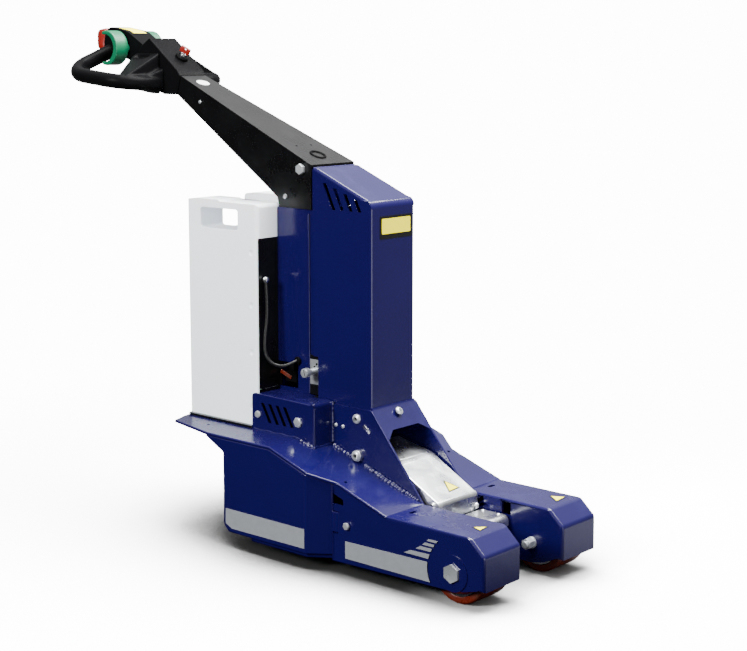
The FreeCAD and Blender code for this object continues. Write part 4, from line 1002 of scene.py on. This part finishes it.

# ---------------- column latch
# A zinc-plated leaf slides in the cover's slot over a black sheet of painted shade,
# and a slotted thumbscrew on a long stem clamps it. Two small seal holes are painted as black discs of shade.
bolt_low, bolt_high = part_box("latch_bolt")
stem_x = 0.100
stem_z = (bolt_low.z + bolt_high.z) / 2.0
stem_growth, head_shrink, head_drop = 1.45, 0.82, 0.0024
head_depth = 0.0105
head_front = bolt_low.y + head_depth


def slanted_block(corner, opposite, middle):
    # a box in the screw's slot, turned about the screw
    piece = block(corner, opposite)
    edit(piece, (bpy.ops.transform.rotate,
                 {"value": math.radians(24.0), "orient_axis": "Y", "center_override": middle}))
    return piece


slot_cut = slanted_block((stem_x - 0.0018, bolt_low.y - 0.001, stem_z - 0.013),
                         (stem_x + 0.0018, bolt_low.y + 0.0025, stem_z + 0.013), (stem_x, bolt_low.y, stem_z))
latch = rounded_copy("latch_bolt", 0.0008, cutters=[slot_cut])
# the stem is thicker and sits a little lower, and the head is smaller and screwed in further
for vertex in latch.data.vertices:
    out = math.hypot(vertex.co.x - stem_x, vertex.co.z - stem_z)
    if bolt_low.y + 0.011 < vertex.co.y < bolt_high.y - 0.0045 and out < 0.0062:
        scaled(vertex, stem_x, stem_z, stem_growth)
    if vertex.co.y < bolt_low.y + 0.014:
        scaled(vertex, stem_x, stem_z, head_shrink)
        vertex.co.y += head_depth
    if vertex.co.y < bolt_high.y - 0.0045:
        vertex.co.z -= head_drop
finish_piece(latch, "latch_bolt_zinc", "zinc", rubbed_zinc, "latch_bolt")
# a black block in the thumbscrew's slot paints the slot's shade
slot_shade_block = slanted_block((stem_x - 0.0014, head_front + 0.0012, stem_z - 0.0095),
                           (stem_x + 0.0014, head_front + 0.0028, stem_z + 0.0047),
                           (stem_x, head_front, stem_z - head_drop))
finish_piece(slot_shade_block, "latch_slot_painted_shade", "black_paint", black_coat)
# the first block is a black sheet that paints the slot's shade behind the leaf
for name, slot, material, corner, opposite in (
    ("slot_painted_shade_sheet", "black_paint", black_coat, (0.0865, -0.0583, 0.2960), (0.1106, -0.0575, 0.3742)),
    ("latch_leaf", "zinc", rubbed_zinc, (0.0869, -0.0590, 0.3165), (0.1103, -0.0584, 0.3660)),
):
    finish_piece(block(corner, opposite), name, slot, material)
# the seal holes are not cut: black discs paint their shade
for name, x, z in (("seal_hole_painted_shade_upper", 0.1041, 0.3571), ("seal_hole_painted_shade_lower", 0.0986, 0.3510)):
    cut_film(name, "black_paint", black_coat, [oval(0.0023, 0.0023, 16)],
             lambda u, v, h: (x + u, -0.0590 - h, z + v))

# ---------------- lead ends
# The lead leaves a plated gland on the case's contact plate, and goes into the
# column through a rubber grommet. The plate is black coated steel.

# flexible PVC: extruded black sheath, semi-gloss, faintly ribbed by the twisted
# cores inside it every 14 mm
sheath_pvc, tree, place = new_material("black_pvc_sheath")
lay = add_node(tree, "TexWave", wave_type="BANDS", bands_direction="DIAGONAL", Vector=place, Scale=70.0,
               Distortion=1.5)
wipe = add_node(tree, "TexNoise", Vector=place, Scale=90.0, Detail=4.0)
tone = add_node(tree, "Mix", data_type="RGBA", i0=wipe, i6="060606", i7="0f0f10")
ribbed = add_node(tree, "Bump", Height=lay.outputs["Fac"], Strength=0.25, Distance=0.0006)
sheath = add_node(tree, "BsdfPrincipled", Base_Color=tone, Roughness=0.34, Normal=ribbed, IOR=1.4)
add_node(tree, "OutputMaterial", Surface=sheath)
lead_curve.materials.append(sheath_pvc)
finish_copy("contact_plate", "_sheet", "black_paint", black_coat, 0.0003)
plate_low, plate_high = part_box("contact_plate")
plate_foot = block((plate_low.x + 0.0004, plate_low.y, plate_low.z - 0.030),
                   (plate_high.x - 0.0004, plate_high.y, plate_low.z - 0.0004))
finish_piece(plate_foot, "contact_foot", "black_paint", black_coat)
finish_copy("column_grommet", "_ring", "black_rubber", grained_nylon, 0.0022, 3)
finish_piece(rounded_copy("battery_block", 0.004), "battery_cells", "lead_block", grained_nylon,
             "battery_block")
gland_low, gland_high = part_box("lead_gland")
gland_foot = 0.004
gland = stepped_disc(0.0066, 0.005, 6, ((0.0012, 0.0014), (0.0014, 0.0012)), gland_foot)
inset_end(gland, -1.0, gland_foot, ((0.0014, 0.0),))
take(gland)
bpy.ops.object.mode_set(mode="EDIT")
bpy.ops.mesh.extrude_region_move(TRANSFORM_OT_translate={"value": (0.0, 0.0, -0.0035)})
bpy.ops.object.mode_set(mode="OBJECT")
gland_middle = (gland_low + gland_high) / 2.0
for vertex in gland.data.vertices:
    vertex.co += Vector((gland_middle.x, gland_middle.y, gland_low.z))
modify(gland, "BEVEL", width=0.0004, segments=2)
smooth(gland)
finish_piece(gland, "lead_gland_nut", "zinc", zinc_plate, "lead_gland")

# ---------------- charging plug
# A black moulded connector sits deep in the column's side opening, with the
# ribbed orange-red grip of its plug across the front.
finish_copy("charge_socket", "_body", "orange_plastic", grained_nylon, 0.0015)
socket_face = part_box("charge_socket")[0].y
rib_pitch = 0.0075
grip = block((0.0, 0.0, -0.0040), (0.030, 0.0030, 0.0040))
edit(grip, (bpy.ops.mesh.subdivide, {"number_cuts": 7}))
tilt = Matrix.Rotation(math.radians(20.0), 4, "Y")
tilt = Matrix.Translation((0.0030, socket_face - 0.0033, 0.3300)) @ tilt
for vertex in grip.data.vertices:
    rib = 0.5 + 0.5 * math.cos(2.0 * math.pi * vertex.co.x / rib_pitch)
    if vertex.co.y < 0.001:
        vertex.co.y += 0.0012 * (1.0 - rib)
    vertex.co.z *= 0.72 + 0.28 * rib
    vertex.co = tilt @ vertex.co
modify(grip, "SUBSURF", levels=1, render_levels=1)
bpy.ops.object.shade_smooth()
finish_piece(grip, "charge_plug_grip", "orange_plastic", cast_pu)
# a black block paints shade at the opening's rear edge, and its sill is blue
for name, slot, material, corner, opposite in (
    ("opening_painted_shade", "black_paint", black_coat, (-0.0023, -0.0533, 0.3010), (0.0024, -0.0500, 0.3520)),
    ("opening_sill", "blue_paint", blue_coat, (0.0022, -0.0573, 0.2900), (0.0560, -0.0540, 0.3010)),
):
    finish_piece(block(corner, opposite), name, slot, material)

# ---------------- key switch
# A black bezel in the console holds a plated lock, and the key in it has a
# moulded red bow.
key_low, key_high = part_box("key_switch")
key_axis = Vector((0.611, 0.0, 0.792))
key_spot = (key_low + key_high) / 2.0 - key_axis * 0.0042 + Vector((0.0051, 0.0, -0.0039))
key_turn = 2.1
bezel = stepped_disc(0.0142, 0.0050, 44, ((0.0018, 0.0016), (0.0036, 0.0), (0.0016, -0.0022)))
smooth(bezel)
finish_piece(put(bezel, key_spot, key_axis), "key_bezel", "black_plastic", grained_nylon, "key_switch")
barrel = rod((0.0, 0.0, 0.0055), (0.0, 0.0, 1.0), 0.0056, 0.0110, 32)
cut_out(barrel, [block((-0.0040, -0.0008, 0.0085), (0.0040, 0.0008, 0.0120))])
modify(barrel, "BEVEL", width=0.0005, segments=2)
smooth(barrel)
blade = block((-0.0034, -0.0006, 0.0095), (0.0034, 0.0006, 0.0160))
lock = join_pieces([put(part, key_spot, key_axis, key_turn) for part in (barrel, blade)])
finish_piece(lock, "key_lock", "zinc", zinc_plate)
bow = block((-0.0112, -0.0027, 0.0125), (0.0112, 0.0027, 0.0275))
for width in (0.0022, 0.0010):
    modify(bow, "BEVEL", width=width, segments=3, angle_limit=math.radians(50.0))
cut_out(bow, [rod((0.0, 0.0, 0.0225), (0.0, 1.0, 0.0), 0.0022, 0.010)])
smooth(bow, 40.0)
finish_piece(put(bow, key_spot, key_axis, key_turn), "key_bow", "red_plastic", red_cap)
for template in (bezel, barrel, blade, bow):
    bpy.data.objects.remove(template)

# ---------------- vent shade panels
# Panels of black sheet stand close behind the rear hood's vents on both
# sides, inside the hood, as painted shade seen through the vents.
# each black panel paints the shade behind one side's vents
for side, sign in sides:
    backing = block((0.006, sign * 0.1102, 0.2340), (0.136, sign * 0.1092, 0.2800))
    finish_piece(backing, "vent_painted_shade_" + side, "black_paint", black_coat)

# ---------------- bridge screw and strap
# One socket screw stands in the middle of the hood's sloping bridge, and a
# short plated strap shows through each side plate behind the arm's pin.
single_screw("bridge_screw", 0.0082, 0.0045, (0.2650, -0.0004, 0.2786), (0.78, 0.0, 0.63))
for side, sign in sides:
    strap = block((-0.0100, 0.0, -0.0033), (0.0100, 0.0014, 0.0033))
    lean = Matrix.Rotation(math.radians(40.0), 4, "Y")
    lean = Matrix.Translation((0.2410, sign * (front_high.y + 0.0001), 0.2500)) @ lean
    for vertex in strap.data.vertices:
        vertex.co = lean @ Vector((vertex.co.x, sign * vertex.co.y, vertex.co.z))
    edit(strap, (bpy.ops.mesh.normals_make_consistent, {"inside": False}))
    modify(strap, "BEVEL", width=0.0005, segments=2)
    smooth(strap)
    finish_piece(strap, "side_strap_" + side, "zinc", zinc_plate)

# ---------------- update
# Brings the view layer up to date, so that every piece's bounds are evaluated.
bpy.context.view_layer.update()
